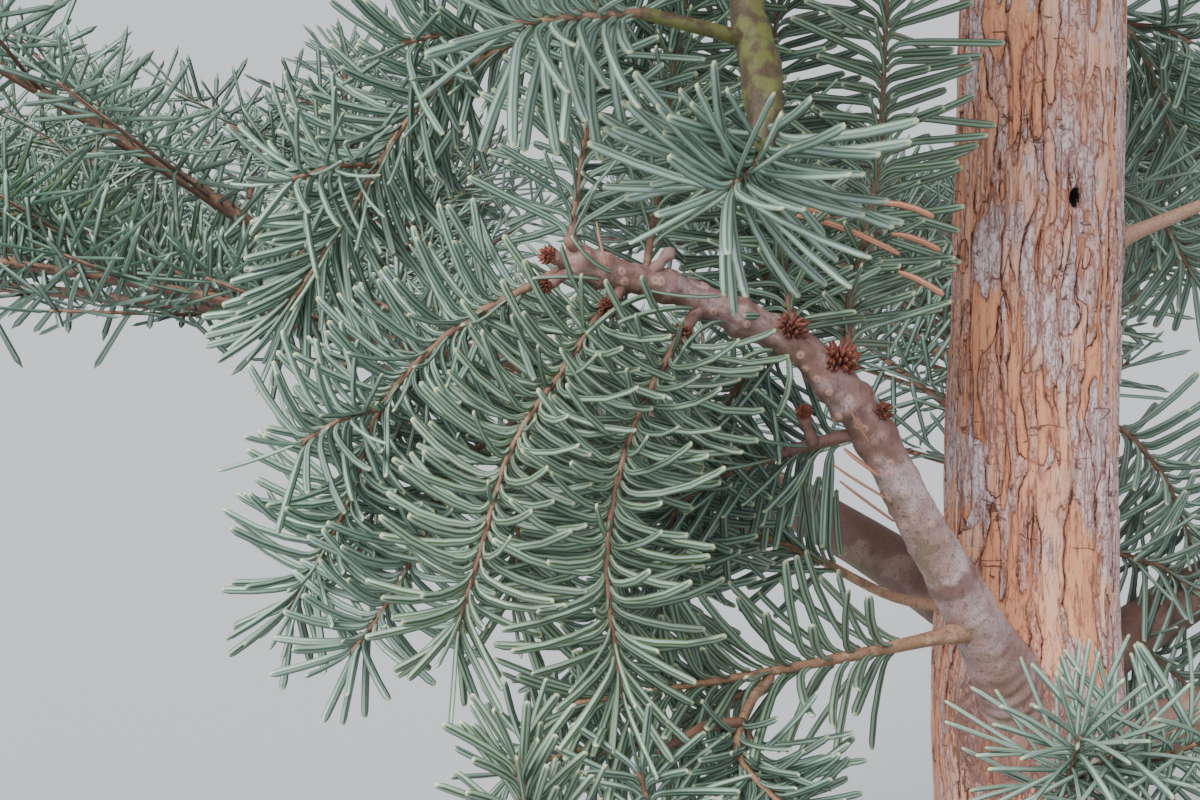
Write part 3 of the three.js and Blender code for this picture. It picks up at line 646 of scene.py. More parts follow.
def needle_field(surface, lines, per_metre, shape, seed, facing, combed=1.0, bare=0.08, size=1.0, tints=0,
                 lift=0.0, thick=0.0, ending=90.0, width=None, length=None):
    """Needles along lines.

    They stand round the twig by the golden angle, thick from its middle, and are combed to both sides of
    the facing side. Each hugs its twig at first and bends out at a knee: its direction turns from one
    angle away from the twig's tangent to another, ending, in degrees, most of it within the first
    quarter. It rises a little to the facing side and by lift to the sky, and its stations are the running
    sum of that. About one needle in six is combed less than the others, and those at the twig's tip point
    more along it.
    """
    settings = bpy.context.scene.fir_needles
    width = width or settings.width
    length = length or settings.length
    total = np.linalg.norm(np.diff(lines, axis=1), axis=2).sum(axis=1)
    given = (per_metre, bare, combed, lift, size, tints, thick, ending)
    given = (np.broadcast_to(values, (len(lines),)) for values in given)
    per_metre, bare, combed, lift, size, tints, thick, ending = given
    counts = np.maximum(3, np.round(total * (1 - bare) * per_metre)).astype(int)
    index = np.repeat(np.arange(len(lines)), counts)
    number = np.arange(len(index)) - np.repeat(np.cumsum(counts) - counts, counts)
    draw = [chance(seed + 0.37 * index, number * 7 + k) for k in range(7)]
    share = bare[index] + (1 - bare[index]) * (number + draw[0]) / counts[index]
    root, tangent = on_lines(lines, index, share)
    facing = np.broadcast_to(facing, (len(lines), 3))[index]
    normal = unit(facing - np.sum(facing * tangent, axis=1, keepdims=True) * tangent)
    side = np.cross(tangent, normal)
    turn = (number * GOLDEN_SHARE + chance(seed, index)) % 1 * 2 - 1
    combing = combed[index] * np.where(draw[6] > 0.84, 0.25, 1)
    around = np.sign(turn) * np.abs(turn) ** (1 - 0.58 * combing) * math.pi * (1 - 0.44 * combing)
    around += 0.22 * (draw[1] - 0.5)
    out = np.cos(around)[:, None] * normal + np.sin(around)[:, None] * side
    at_tip = smooth((share - 0.8) / 0.2)
    leaving = np.radians(24 + 16 * (draw[2] - 0.5)) * (1 - at_tip) + np.radians(10) * at_tip
    ending = np.radians(ending[index] * (1 - at_tip) + 30 * at_tip + 36 * (draw[3] - 0.5))
    at = np.r_[0, NEEDLE_SHAPES[shape]["at"], 1]
    bend = leaving[:, None] + (ending - leaving)[:, None] * (0.8 * smooth(at / 0.24) + 0.2 * at)
    rise = (0.3 + 0.4 * (draw[4] - 0.5))[:, None] * at
    sky = (lift[index] * (1 - 0.8 * at_tip) * (0.5 + draw[0]))[:, None] * at**1.5
    way = unit(
        np.cos(bend)[..., None] * tangent[:, None]
        + np.sin(bend)[..., None] * out[:, None]
        + rise[..., None] * normal[:, None]
        + sky[..., None] * UP
    )
    long = length * size[index] * (0.8 + 0.36 * draw[5]) * (1 - 0.22 * at_tip)
    steps = np.diff(at)[:, None] * (way[:, 1:] + way[:, :-1]) / 2 * long[:, None, None]
    root = root + out * thick[index][:, None]
    middle = root[:, None] + np.concatenate([np.zeros((len(root), 1, 3)), np.cumsum(steps, axis=1)], axis=1)
    needle_skins(surface, middle, np.cross(tangent, out), 0.7 * (draw[6] - 0.5), shape,
                 width * size[index], tints[index], draw[5] * 0.6 + draw[1] * 0.4)


def single_needles(surface, table, width, seed):
    """One near needle for each row of root, knee and tip in millimetres, as a bezier bent at the knee."""
    root, knee, tip = np.moveaxis(np.array(table, float) * MM, 1, 0)
    middle = bezier(root, knee, tip, np.r_[0, NEEDLE_SHAPES["near"]["at"], 1])
    plane = unit(np.cross(knee - root, tip - knee) + 1e-9)
    draw = chance(seed, np.arange(len(table)))
    needle_skins(surface, middle, plane, 0.5 * (draw - 0.5), "near", np.full(len(table), width),
                 np.zeros(len(table), int), draw)


def lattice_noise(x, y, period, seed):
    """Smooth noise from -1 to 1 on a lattice that repeats after period cells in x."""
    column, row = np.floor(x), np.floor(y)
    u, v = smooth(x - column), smooth(y - row)

    def corner(i, j):
        return chance(seed + np.mod(column + i, period) * 1.7, (row + j) * 3.1)

    low = corner(0, 0) * (1 - u) + corner(1, 0) * u
    high = corner(0, 1) * (1 - u) + corner(1, 1) * u
    return 2 * (low * (1 - v) + high * v) - 1


def lattice_blend(x, y, period, seed):
    """Two octaves of lattice_noise, the second twice as fine and two fifths as strong."""
    finer = lattice_noise(2 * x + 0.5, 2.3 * y, 2 * period, seed + 4.9)
    return lattice_noise(x, y, period, seed) + 0.4 * finer


def bark_edge(field, across, z):
    """The signed distance to the lines where a field is 0: the field over the length of its slope.

    The field lies on a grid whose rows are at the heights z and whose columns go round the trunk, where
    they are across apart. The result is held to 4 mm.
    """
    up = np.gradient(field, z, axis=0)
    round_ = (np.roll(field, -1, axis=1) - np.roll(field, 1, axis=1)) / (2 * across)
    slope = np.hypot(up, round_)
    return np.clip(field / np.maximum(slope, 0.02 * slope.max()), -0.004, 0.004)


def trunk_radius(z):
    """Taper to the power 0.85, swollen at every whorl of more than three boughs, with the root flare."""
    share = (TRUNK_TOP - z) / (TRUNK_TOP - TRUNK_WAIST_HEIGHT)
    taper = TRUNK_TIP_RADIUS + (TRUNK_WAIST_RADIUS - TRUNK_TIP_RADIUS) * np.maximum(share, 0) ** 0.85
    whorls = np.array([tier["height"] * MM for tier in TIERS if len(tier["azimuths"]) > 3])
    swell = 1 + COLLAR_SWELL * np.exp(-(((z[..., None] - whorls) / COLLAR_HALF_HEIGHT) ** 2)).sum(axis=-1)
    return taper * swell + FLARE_RADIUS * np.exp(-z / FLARE_HEIGHT)


def trunk_middle(z):
    """The middle of the trunk's section: a lean that grows as s² and a bow as sin²(πs), s = z / top."""
    share = np.asarray(z) / TRUNK_TOP
    return np.stack([TRUNK_LEAN * share**2, TRUNK_BOW * np.sin(math.pi * share) ** 2, np.asarray(z)], axis=-1)


def bough_lines():
    """Every bough of every tier, with its azimuth, its space, its seed and its radius at the root."""
    boughs = []
    seed = 1
    for tier in TIERS:
        whorl = tier["azimuths"] + ([LEFT_AZIMUTH] if tier["name"] == "low" else [])
        offsets = tier.get("offsets", [0] * len(whorl))
        reach = tier["reach"] * MM
        slope = tier.get("slope", BOUGH_SLOPE)
        for number, azimuth in enumerate(tier["azimuths"]):
            turn = math.radians(azimuth)
            out = np.array([math.cos(turn), math.sin(turn), 0])
            root = trunk_middle((tier["height"] + offsets[number]) * MM)
            turning = root + out * reach * BOUGH_TURN + UP * reach * BOUGH_TURN * slope
            tip = root + out * reach + UP * tier["rise"] * MM
            gaps = [min(abs(azimuth - other) % 360, 360 - abs(azimuth - other) % 360) for other in whorl]
            space = min([WIDEST_SPACE] + [gap for gap in gaps if gap]) / 2
            boughs.append(
                dict(
                    name=f"{tier['name']}_{number + 1}",
                    tier=tier["name"],
                    line=evenly(bezier(root, turning, tip, np.linspace(0, 1, 200)), LINE_POINTS),
                    azimuth=azimuth,
                    space=space,
                    seed=seed,
                    radius=BOUGH_BASE_RADIUS + BOUGH_RADIUS_SHARE * reach,
                )
            )
            seed += 1
    return boughs


def first_twigs(bough):
    """The twigs of a bough by the part's seeded rule: their roots, ways and lengths.

    They stand on both sides in turn. One whose tip would leave the bough's own space is shortened.
    """
    line = bough["line"]
    total = np.linalg.norm(np.diff(line, axis=0), axis=1).sum()
    count = max(2, round(total / COARSE_TWIG_EVERY)) * FINE_TWIGS_PER_COARSE
    j = np.arange(count)
    seed = bough["seed"]
    share = TWIGS_START + TWIGS_SPAN * (j + 0.5) / count
    spread = np.radians(TWIG_SPREAD + 14 * (chance(seed, 4 * j) - 0.5))[:, None]
    lift = np.radians(TWIG_LOWEST + (TWIG_HIGHEST - TWIG_LOWEST) * chance(seed, 4 * j + 1))[:, None]
    root, forward = on_lines(line[None], np.zeros(count, int), share)
    side = unit(np.cross(forward, UP)) * np.where(j % 2, 1, -1)[:, None]
    way = unit(np.cos(spread) * forward + np.sin(spread) * side + np.sin(lift) * UP)
    length = TWIG_SHARE * total * (1.06 - share) ** 0.75 * (0.86 + 0.28 * chance(seed, 4 * j + 2))
    for _ in range(12):
        end = root + way * (length + TOOTH_REACH)[:, None]
        away = np.arctan2(end[:, 1], end[:, 0]) - math.radians(bough["azimuth"])
        angle = np.abs(np.arctan2(np.sin(away), np.cos(away)))
        room = np.hypot(end[:, 0], end[:, 1]) * np.sin(math.radians(bough["space"]) - angle)
        length = np.where(room > SPACE_MARGIN, length, length * 0.88)
    return root, way, length


def bowed(root, way, length, count):
    """Twigs of count points from roots along ways: beziers that bow up by a share of their length."""
    middle = root + way * length[:, None] * TWIG_TURN + UP * TWIG_BOW * length[:, None]
    return bezier(root, middle, root + way * length[:, None], np.linspace(0, 1, count))


def second_twigs(lines, seed, every=0.034, share_of=0.42, longest=0.085, start=0.24):
    """Side twigs on both sides of twigs in turn, about 48° off them, that shorten towards the tip.

    There is one for every metres of 0.62 of the twig's length, from the start share on. Returns them, and
    the twig of each.
    """
    total = np.linalg.norm(np.diff(lines, axis=1), axis=2).sum(axis=1)
    counts = np.floor(total * 0.62 / every).astype(int)
    index = np.repeat(np.arange(len(lines)), counts)
    number = np.arange(len(index)) - np.repeat(np.cumsum(counts) - counts, counts)
    share = start + (0.86 - start) * (number + 0.5) / np.maximum(counts[index], 1)
    root, tangent = on_lines(lines, index, share)
    side = unit(np.cross(tangent, UP)) * np.where(number % 2, 1, -1)[:, None]
    spread = np.radians(48 + 14 * (chance(seed + index, number * 3) - 0.5))[:, None]
    lift = np.radians(-6 + 30 * chance(seed + index, number * 3 + 1))[:, None]
    way = unit(np.cos(spread) * tangent + np.sin(spread) * side + np.sin(lift) * UP)
    length = np.minimum(share_of * total[index] * (1.05 - share), longest)
    length *= 0.8 + 0.4 * chance(seed + index, number * 3 + 2)
    kept = length > SHORTEST_SIDE_TWIG
    return bowed(root[kept], way[kept], length[kept], 4), index[kept]


def node_names(prefix):
    """The names of the frame's nodes that start with prefix."""
    return sorted(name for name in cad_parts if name.startswith(prefix))


# Materials


class Graph:
    """A material's or group's node tree, with short ways to add and link nodes."""

    def __init__(self, tree):
        self.tree = tree

    def add(self, kind, inputs=None, **settings):
        """Adds a node with its settings, and sets its inputs."""
        node = self.tree.nodes.new(kind)
        for name, value in settings.items():
            setattr(node, name, value)
        for name, value in (inputs or {}).items():
            self.set(node, name, value)
        return node

    def set(self, node, name, value):
        """Links a socket to an input, or sets the input to a number, a vector or a colour with alpha 1."""
        socket = node.inputs[name]
        if isinstance(value, bpy.types.NodeSocket):
            self.tree.links.new(value, socket)
        elif isinstance(value, (int, float)):
            socket.default_value = value
        else:
            value = tuple(value)
            socket.default_value = value + (1.0,) * (len(socket.default_value) - len(value))

    def math(self, operation, a, b=0.0):
        return self.add("ShaderNodeMath", {0: a, 1: b}, operation=operation).outputs[0]

    def plus(self, a, b):
        return self.math("ADD", a, b)

    def minus(self, a, b):
        return self.math("SUBTRACT", a, b)

    def times(self, a, b):
        return self.math("MULTIPLY", a, b)

    def most(self, a, b):
        return self.math("MAXIMUM", a, b)

    def off(self, value, middle):
        """How far a value is off its middle: |value - middle|."""
        return self.math("ABSOLUTE", self.minus(value, middle))

    def between(self, value, low, high, to_low=0.0, to_high=1.0):
        """Goes smoothly from to_low, where the value is low, to to_high, where it is high."""
        inputs = {"Value": value, "From Min": low, "From Max": high, "To Min": to_low, "To Max": to_high}
        return self.add("ShaderNodeMapRange", inputs, interpolation_type="SMOOTHSTEP").outputs["Result"]

    def mix(self, share, color, over):
        """A share of the colour over, mixed into the colour."""
        inputs = {0: share, 6: color, 7: over}
        return self.add("ShaderNodeMix", inputs, data_type="RGBA", blend_type="MIX").outputs[2]

    def lay(self, color, over, value, low, high, to_low=0.0, to_high=1.0):
        """The colour with another laid over it, as thickly as between() says."""
        return self.mix(self.between(value, low, high, to_low, to_high), color, over)

    def scaled(self, vector, by):
        return self.add("ShaderNodeVectorMath", {0: vector, "Scale": by}, operation="SCALE").outputs[0]

    def attribute(self, name):
        return self.add("ShaderNodeAttribute", attribute_name=name).outputs["Fac"]

    def noise(self, place, scale, detail=3.0, roughness=0.55, stretch=(1, 1, 1)):
        """Noise from 0 to 1 on a stretched place: a stretch below 1 makes it longer that way."""
        mapping = self.add("ShaderNodeMapping", {"Vector": place, "Scale": stretch})
        inputs = {"Vector": mapping.outputs[0], "Scale": scale, "Detail": detail, "Roughness": roughness}
        return self.add("ShaderNodeTexNoise", inputs).outputs["Fac"]

    def group(self, tree, **inputs):
        """Adds a shared group. An underscore in an input's name stands for a space."""
        inputs = {name.replace("_", " "): value for name, value in inputs.items()}
        return self.add("ShaderNodeGroup", inputs, node_tree=tree)

    def bump(self, shader, strength, distance, height):
        """Raises the shader's surface by a height."""
        node = self.add("ShaderNodeBump", {"Strength": strength, "Distance": distance, "Height": height})
        self.set(shader, "Normal", node.outputs["Normal"])


def material(name, color, roughness):
    """A Principled material, and its graph, its shader and its Object coordinates."""
    made = bpy.data.materials.new(name)
    made.use_nodes = True
    graph = Graph(made.node_tree)
    shader = made.node_tree.nodes["Principled BSDF"]
    graph.set(shader, "Base Color", color)
    graph.set(shader, "Roughness", roughness)
    place = graph.add("ShaderNodeTexCoord").outputs["Object"]
    return made, graph, shader, place


def new_group(name, inputs, outputs):
    """A shader node group with the named sockets: inputs as name, type and default."""
    tree = bpy.data.node_groups.new(name, "ShaderNodeTree")
    for label, kind, default in inputs:
        socket = tree.interface.new_socket(label, in_out="INPUT", socket_type=kind)
        if default is not None:
            socket.default_value = default
    for label, kind in outputs:
        tree.interface.new_socket(label, in_out="OUTPUT", socket_type=kind)
    graph = Graph(tree)
    return tree, graph, graph.add("NodeGroupInput").outputs, graph.add("NodeGroupOutput")


def mottle_group():
    """Mottling shared by all bark: a base colour, broken by soft patches and fine grain, and its height."""
    found = bpy.data.node_groups.get("bark_mottle")
    if found:
        return found
    tree, graph, given, result = new_group(
        "bark_mottle",
        [
            ("Base", "NodeSocketColor", (0.5, 0.5, 0.5, 1)),
            ("Patch", "NodeSocketColor", (0.7, 0.7, 0.7, 1)),
            ("Patch Scale", "NodeSocketFloat", 60.0),
            ("Patch Share", "NodeSocketFloat", 0.55),
            ("Place", "NodeSocketVector", None),
        ],
        [("Color", "NodeSocketColor"), ("Height", "NodeSocketFloat")],
    )
    inputs = {"Vector": given["Place"], "Scale": given["Patch Scale"], "Detail": 4.0}
    patches = graph.add("ShaderNodeTexNoise", inputs).outputs["Fac"]
    grain = graph.noise(given["Place"], 1500.0, 3.0, 0.6)
    soft = graph.between(patches, given["Patch Share"], graph.plus(given["Patch Share"], 0.18))
    color = graph.mix(soft, given["Base"], given["Patch"])
    graph.set(result, "Color", graph.lay(color, linear(104, 74, 68), grain, 0.5, 0.64, 0.0, 0.5))
    graph.set(result, "Height", graph.plus(graph.times(soft, 0.5), grain))
    return tree


def crazing_group():
    """Fine cracks between scales of 2 to 4 mm, taller than wide."""
    tree, graph, given, result = new_group(
        "bark_crazing", [("Place", "NodeSocketVector", None)], [("Lines", "NodeSocketFloat")]
    )
    squeezed = graph.add("ShaderNodeMapping", {"Vector": given["Place"], "Scale": (1, 1, 0.55)}).outputs[0]
    wobble = graph.add("ShaderNodeTexNoise", {"Vector": squeezed, "Scale": 500.0, "Detail": 2.0})
    moved = graph.scaled(wobble.outputs["Color"], 0.0016)
    moved = graph.add("ShaderNodeVectorMath", {0: squeezed, 1: moved}, operation="ADD").outputs[0]
    cells = graph.add("ShaderNodeTexVoronoi", {"Vector": moved, "Scale": 560.0}, feature="DISTANCE_TO_EDGE")
    graph.set(result, "Lines", graph.between(cells.outputs["Distance"], 0.02, 0.15, 1.0, 0.0))
    return tree


def trunk_bark():
    """Peeling bark: its strips take one of four looks by the side of each edge that they lie on.

    Two are smooth with upright streaks, orange and pale tan; two are wrinkled, old grey and red-brown.
    Cracks run along the edges and fade in places, short ones cross the strips, and finer upright ones run
    inside them. The cracks are dark partly with painted shade. The bark is darker at the foot, painted
    shade under the low boughs, and plain brown on the young wood above.
    """
    settings = bpy.context.scene.fir_trunk
    made, graph, shader, place = material("peeling_bark", settings.orange, 0.86)
    spot = graph.add("ShaderNodeSeparateXYZ", {"Vector": place}).outputs
    wander = graph.minus(graph.noise(place, 330.0, 3.0, 0.6, (1, 1, 0.3)), 0.5)
    fray = graph.minus(graph.noise(place, 1100.0, 2.0, 0.6, (1, 1, 0.4)), 0.5)
    wander = graph.plus(graph.times(wander, 2.6), graph.times(fray, 1.1))
    broad = graph.plus(graph.attribute("broad"), wander)
    narrow = graph.minus(graph.attribute("narrow"), wander)
    side_of_broad = graph.between(broad, -0.12, 0.12)
    side_of_narrow = graph.between(narrow, -0.12, 0.12)
    patches = graph.noise(place, 60.0, 3.0, 0.6, (1, 1, 0.4))
    patches = graph.plus(patches, graph.times(spot["X"], 2.4))
    streaks = graph.noise(place, 320.0, 5.0, 0.62, (1, 1, 0.07))
    fibres = graph.noise(place, 640.0, 2.0, 0.5, (1, 1, 0.045))
    grain = graph.noise(place, 1300.0, 3.0, 0.6, (1, 1, 0.4))
    wrinkles = graph.noise(place, 520.0, 4.0, 0.65, (1, 1, 0.5))
    streaky = graph.between(streaks, 0.36, 0.66)
    wrinkled = graph.between(wrinkles, 0.36, 0.6)

    # The four looks of the strips, and larger patches of old and of fresh bark
    fresh = graph.mix(graph.times(streaky, 0.75), settings.orange, linear(246, 162, 122))
    tan = graph.mix(streaky, linear(252, 206, 186), linear(248, 182, 150))
    old = graph.mix(wrinkled, linear(216, 178, 180), settings.grey)
    brown = graph.mix(wrinkled, linear(216, 150, 126), linear(240, 204, 198))
    inner = graph.mix(side_of_narrow, fresh, old)
    color = graph.mix(side_of_broad, inner, graph.mix(side_of_narrow, brown, tan))
    color = graph.lay(color, old, patches, 0.55, 0.59, 0.0, 0.8)
    color = graph.lay(color, fresh, patches, 0.49, 0.42, 0.0, 0.6)

    # Crazing on the wrinkled strips, and dark grain
    scaly = graph.off(side_of_narrow, side_of_broad)
    scaly = graph.most(scaly, graph.between(patches, 0.55, 0.59))
    scaly = graph.times(scaly, graph.between(wrinkles, 0.6, 0.4, 0.1, 0.6))
    scaly = graph.times(scaly, graph.group(crazing_group(), Place=place).outputs["Lines"])
    color = graph.mix(scaly, color, linear(128, 90, 82))
    color = graph.lay(color, linear(144, 92, 74), grain, 0.55, 0.8, 0.0, 0.25)

    # Finer upright cracks inside the strips
    veins = graph.off(graph.noise(place, 210.0, 3.0, 0.6, (1, 1, 0.09)), 0.5)
    flakes = graph.off(graph.noise(place, 330.0, 3.0, 0.7, (1, 1, 0.3)), 0.56)
    grooves = graph.between(fibres, 0.41, 0.34)
    grooves = graph.most(grooves, graph.between(veins, 0.004, 0.022, 0.9, 0.0))
    grooves = graph.most(grooves, graph.between(flakes, 0.004, 0.02, 0.7, 0.0))
    grooves = graph.times(grooves, graph.between(wrinkles, 0.35, 0.6, 0.3, 0.85))
    color = graph.mix(grooves, color, linear(144, 88, 68))

    # Cracks along the nearest edge, in a darker border, and short ones across, dark with painted shade too
    nearest = graph.times(graph.math("ABSOLUTE", narrow), 1.2)
    nearest = graph.math("MINIMUM", graph.math("ABSOLUTE", broad), nearest)
    color = graph.lay(color, linear(180, 108, 80), nearest, 0.15, 1.5, 0.42, 0.0)
    fading = graph.between(graph.noise(place, 110.0, 3.0, 0.6, (1, 1, 0.5)), 0.4, 0.58, 0.12, 1.0)
    gap = graph.times(graph.between(nearest, 0.06, 0.4, 1.0, 0.0), fading)
    level = graph.off(graph.noise(place, 60.0, 3.0, 0.5, (0.5, 0.5, 1.6)), 0.5)
    splits = graph.between(graph.noise(place, 120.0, 2.0), 0.56, 0.62, 0.0, 0.75)
    splits = graph.times(splits, graph.between(level, 0.004, 0.014, 1.0, 0.0))
    gap = graph.most(gap, splits)
    color = graph.mix(gap, color, settings.crack_and_shade)

    # The collars round the boughs, the knot hole and the foot, each with painted shade, and the young wood
    # above
    ragged = graph.times(graph.minus(wrinkles, 0.5), 1.4)
    collar = graph.between(graph.plus(graph.attribute("collar"), ragged), 0.45, 0.7)
    limb = bpy.context.scene.fir_boughs.bark
    # The collars' dark base colour is partly their own bark and partly painted shade under the boughs
    collar_bark_and_shade = linear(134, 92, 80)
    mottle = graph.group(mottle_group(), Base=collar_bark_and_shade, Patch=limb, Patch_Scale=150.0, Place=place)
    color = graph.mix(graph.times(collar, 0.85), color, mottle.outputs["Color"])
    # The knot hole is painted near-black, as shade inside it
    hollow = graph.plus(graph.attribute("hollow"), ragged)
    color = graph.lay(color, KNOT_HOLE_SHADE, hollow, 0.3, 0.6)
    # Painted shade under the low boughs: the trunk darkens below 0.42 m, by half below 0.3 m
    color = graph.lay(color, linear(128, 80, 62), spot["Z"], 0.3, 0.42, 0.5, 0.0)
    color = graph.lay(color, linear(124, 98, 90), spot["Z"], 0.8, 1.5)
    graph.set(shader, "Base Color", color)

    relief = graph.plus(graph.times(streaks, 0.5), graph.times(grain, 0.2))
    relief = graph.plus(relief, graph.times(wrinkles, 0.5))
    for lowered, depth in ((gap, 1.2), (grooves, 0.8), (scaly, 1.5)):
        relief = graph.minus(relief, graph.times(lowered, depth))
    graph.bump(shader, 0.6, 0.0009, relief)
    return made


def limb_bark(name, base, patch, scale, share, film=0.0):
    """Smooth bark with pale patches.

    Where film is above 0, a green film of that strength grows on the undersides, partly as painted shade, and
    scars, flecks and leaf scars show; the scars' brown is partly painted shade.
    """
    made, graph, shader, place = material(name, base, 0.6)
    mottle = graph.group(
        mottle_group(), Base=base, Patch=patch, Patch_Scale=scale, Patch_Share=share, Place=place
    )
    color = mottle.outputs["Color"]
    if film:
        # Undersides take the green film, which is also painted shade: darker where faces point down
        normal = graph.add("ShaderNodeNewGeometry").outputs["Normal"]
        upward = graph.add("ShaderNodeSeparateXYZ", {"Vector": normal}).outputs["Z"]
        patchy = graph.between(graph.noise(place, 110.0, 4.0), 0.4, 0.6)
        underside_film_and_shade = graph.times(graph.between(upward, 0.15, -0.75), patchy)
        color = graph.mix(graph.times(underside_film_and_shade, film), color, bpy.context.scene.fir_boughs.moss)
        # Browned by the scar attribute: real scars and, on the left bough's outer half and knot, painted
        # shade
        color = graph.lay(color, linear(124, 86, 76), graph.attribute("scar"), 0.3, 0.9, 0.0, 0.8)
        flecks = graph.noise(place, 620.0, 3.0, 0.6, (1, 1, 0.7))
        color = graph.lay(color, linear(100, 68, 60), flecks, 0.56, 0.66, 0.0, 0.55)
        leaf = graph.attribute("leaf")
        color = graph.lay(color, linear(214, 168, 150), leaf, 0.3, 0.6, 0.0, 0.6)
        color = graph.lay(color, linear(112, 70, 62), leaf, 0.8, 0.95, 0.0, 0.7)
    graph.set(shader, "Base Color", color)
    graph.bump(shader, 0.4, 0.0005, mottle.outputs["Height"])
    return made


def needle_material(name, color, tip, band, root=NEEDLE_ROOT_COLOR):
    """Flat needles: a darker midrib, pale bands beside it, a rim like the tip, a pale tip and root."""
    made, graph, shader, _ = material(name, color, 0.46)
    graph.set(shader, "Specular IOR Level", 0.45)
    over = graph.attribute("over")
    along = graph.attribute("along")
    bands = graph.times(graph.between(over, 0.14, 0.34), graph.between(over, 0.7, 0.88, 1.0, 0.0))
    mixed = graph.lay(color, [0.6 * c for c in color], over, 0.0, 0.2, 0.7, 0.0)
    mixed = graph.mix(graph.times(bands, 0.48), mixed, band)
    mixed = graph.lay(mixed, tip, over, 0.86, 0.98, 0.0, 0.35)
    mixed = graph.lay(mixed, tip, along, 0.95, 0.995, 0.0, 0.8)
    mixed = graph.lay(mixed, root, along, 0.1, 0.0, 0.0, 0.6)
    level = graph.between(graph.attribute("shade"), 0.0, 1.0, 0.74, 1.2)
    graph.set(shader, "Base Color", graph.scaled(mixed, level))
    return made


def needle_materials():
    """The three tints that are dealt out by spray."""
    settings = bpy.context.scene.fir_needles
    tints = {"needles_blue": settings.blue, "needles_grey": settings.grey, "needles_green": settings.green}
    tip = linear(190, 194, 148)
    found = bpy.data.materials
    return [found.get(name) or needle_material(name, tint, tip, settings.wax) for name, tint in tints.items()]


# Operators: one for each piece or group of like pieces


class FIR_OT_trunk(bpy.types.Operator):
    """Makes the trunk: rings round its leaning middle, with steps and cracks where two fields are 0"""

    bl_idname = "fir.trunk"
    bl_label = "Trunk"

    def execute(self, context):
        settings = context.scene.fir_trunk
        made = trunk_bark()
        close = np.arange(*CLOSE_STRETCH, CLOSE_STEP)
        above = np.arange(close[-1] + 0.002, TRUNK_SEAM, SEAM_STEP)
        lower = np.r_[0.0, np.arange(0.004, close[0], FOOT_STEP), close, above, TRUNK_SEAM]
        upper = np.r_[TRUNK_SEAM, np.arange(TRUNK_SEAM + 0.005, TRUNK_TOP, UPPER_STEP), TRUNK_TOP]
        self.stretch(settings, lower, LOWER_COLUMNS).piece("trunk_lower", [made], "trunk_bark", ["trunk"])
        self.stretch(settings, upper, UPPER_COLUMNS).piece("trunk_upper", [made], "trunk_bark", ["trunk"])
        return {"FINISHED"}

    @staticmethod
    def stretch(settings, heights, columns):
        """The surface of a stretch: radius = taper + bark relief - the knot hole + the collars.

        A collar swells as exp(-d²), with d the distance from its bough over about twice its thickness.
        The bark's relief is weaker there and on the thin wood, and faint rings run round the bough.
        """
        around, z = np.meshgrid(2 * math.pi * np.arange(columns) / columns, heights)
        size = trunk_radius(z)
        broad, narrow, relief = FIR_OT_trunk.bark(settings, around, z, size)
        relief = relief * np.clip(size / TRUNK_WAIST_RADIUS, 0, 1) ** 1.5
        sideways = np.angle(np.exp(1j * (around - KNOT_HOLE_AZIMUTH))) * TRUNK_WAIST_RADIUS
        hole = (sideways / KNOT_HOLE_SIZE[0]) ** 2 + ((z - KNOT_HOLE_HEIGHT) / KNOT_HOLE_SIZE[1]) ** 2
        hollow = np.exp(-(hole**2))
        relief = relief - KNOT_HOLE_DEPTH * hollow
        collar = np.zeros_like(z)
        for azimuth, height, thick, rise in FIR_OT_trunk.collars():
            near = np.arccos(np.clip(np.cos(around - azimuth), -1, 1)) * size / (1.9 * thick)
            swelling = np.exp(-(near**2) - ((z - height) / (2.2 * thick)) ** 2)
            relief = relief * (1 - 0.7 * swelling) + rise * swelling
            rings = np.sin(8 * math.pi * np.sqrt(-np.log(swelling + 1e-9)))
            relief = relief + 0.05 * rise * rings * swelling
            collar = np.maximum(collar, swelling)
        round_ = np.stack([np.cos(around), np.sin(around), np.zeros_like(z)], axis=-1)
        points = trunk_middle(z) + (size + relief)[..., None] * round_
        ends = trunk_middle(heights[[0, -1]])
        surface = Surface()
        surface.add(
            *skin(points[None], ends[:1], ends[1:]),
            broad=np.r_[broad.ravel() / MM, 4, 4],
            narrow=np.r_[narrow.ravel() / MM, 4, 4],
            hollow=np.r_[hollow.ravel(), 0, 0],
            collar=np.r_[collar.ravel(), 0, 0],
        )
        return surface

    @staticmethod
    def bark(settings, around, z, size):
        """Signed distances to the edges of broad and narrow strips, and the relief that they make."""
        period = 2 * round(math.pi * TRUNK_WAIST_RADIUS / settings.strip_width)
        x = around / (2 * math.pi) * period
        y = z / settings.strip_height
        bent = x + 0.45 * lattice_noise(0.5 * x, 1.6 * y, period // 2, 3.3)
        bent = bent + 0.1 * lattice_noise(2 * x, 8 * y, 2 * period, 8.1)
        across = size * (around[0, 1] - around[0, 0])
        broad = bark_edge(lattice_blend(bent, y, period, 1.4), across, z[:, 0])
        narrow = bark_edge(lattice_blend(1.5 * bent, 1.9 * y, 1.5 * period, 6.2), across, z[:, 0])
        steps = smooth(0.5 + broad / STEP_WIDTH) + 0.8 * smooth(0.5 + narrow / STEP_WIDTH) - 0.9
        cracks = np.exp(-((broad / CRACK_WIDTH) ** 2)) + 0.8 * np.exp(-((narrow / CRACK_WIDTH) ** 2))
        swells = STRIP_STEP * lattice_noise(0.5 * x, 1.3 * y, period // 2, 5.5)
        return broad, narrow, STRIP_STEP * steps - settings.crack_depth * cracks + swells

    @staticmethod
    def collars():
        """Azimuth, height and thickness of every bough where it meets the trunk, and its collar's rise."""
        return [LEFT_COLLAR, DEAD_TWIG_COLLAR] + [
            (math.radians(bough["azimuth"]), bough["line"][1, 2], bough["radius"], 0.28 * bough["radius"])
            for bough in bough_lines()
        ]


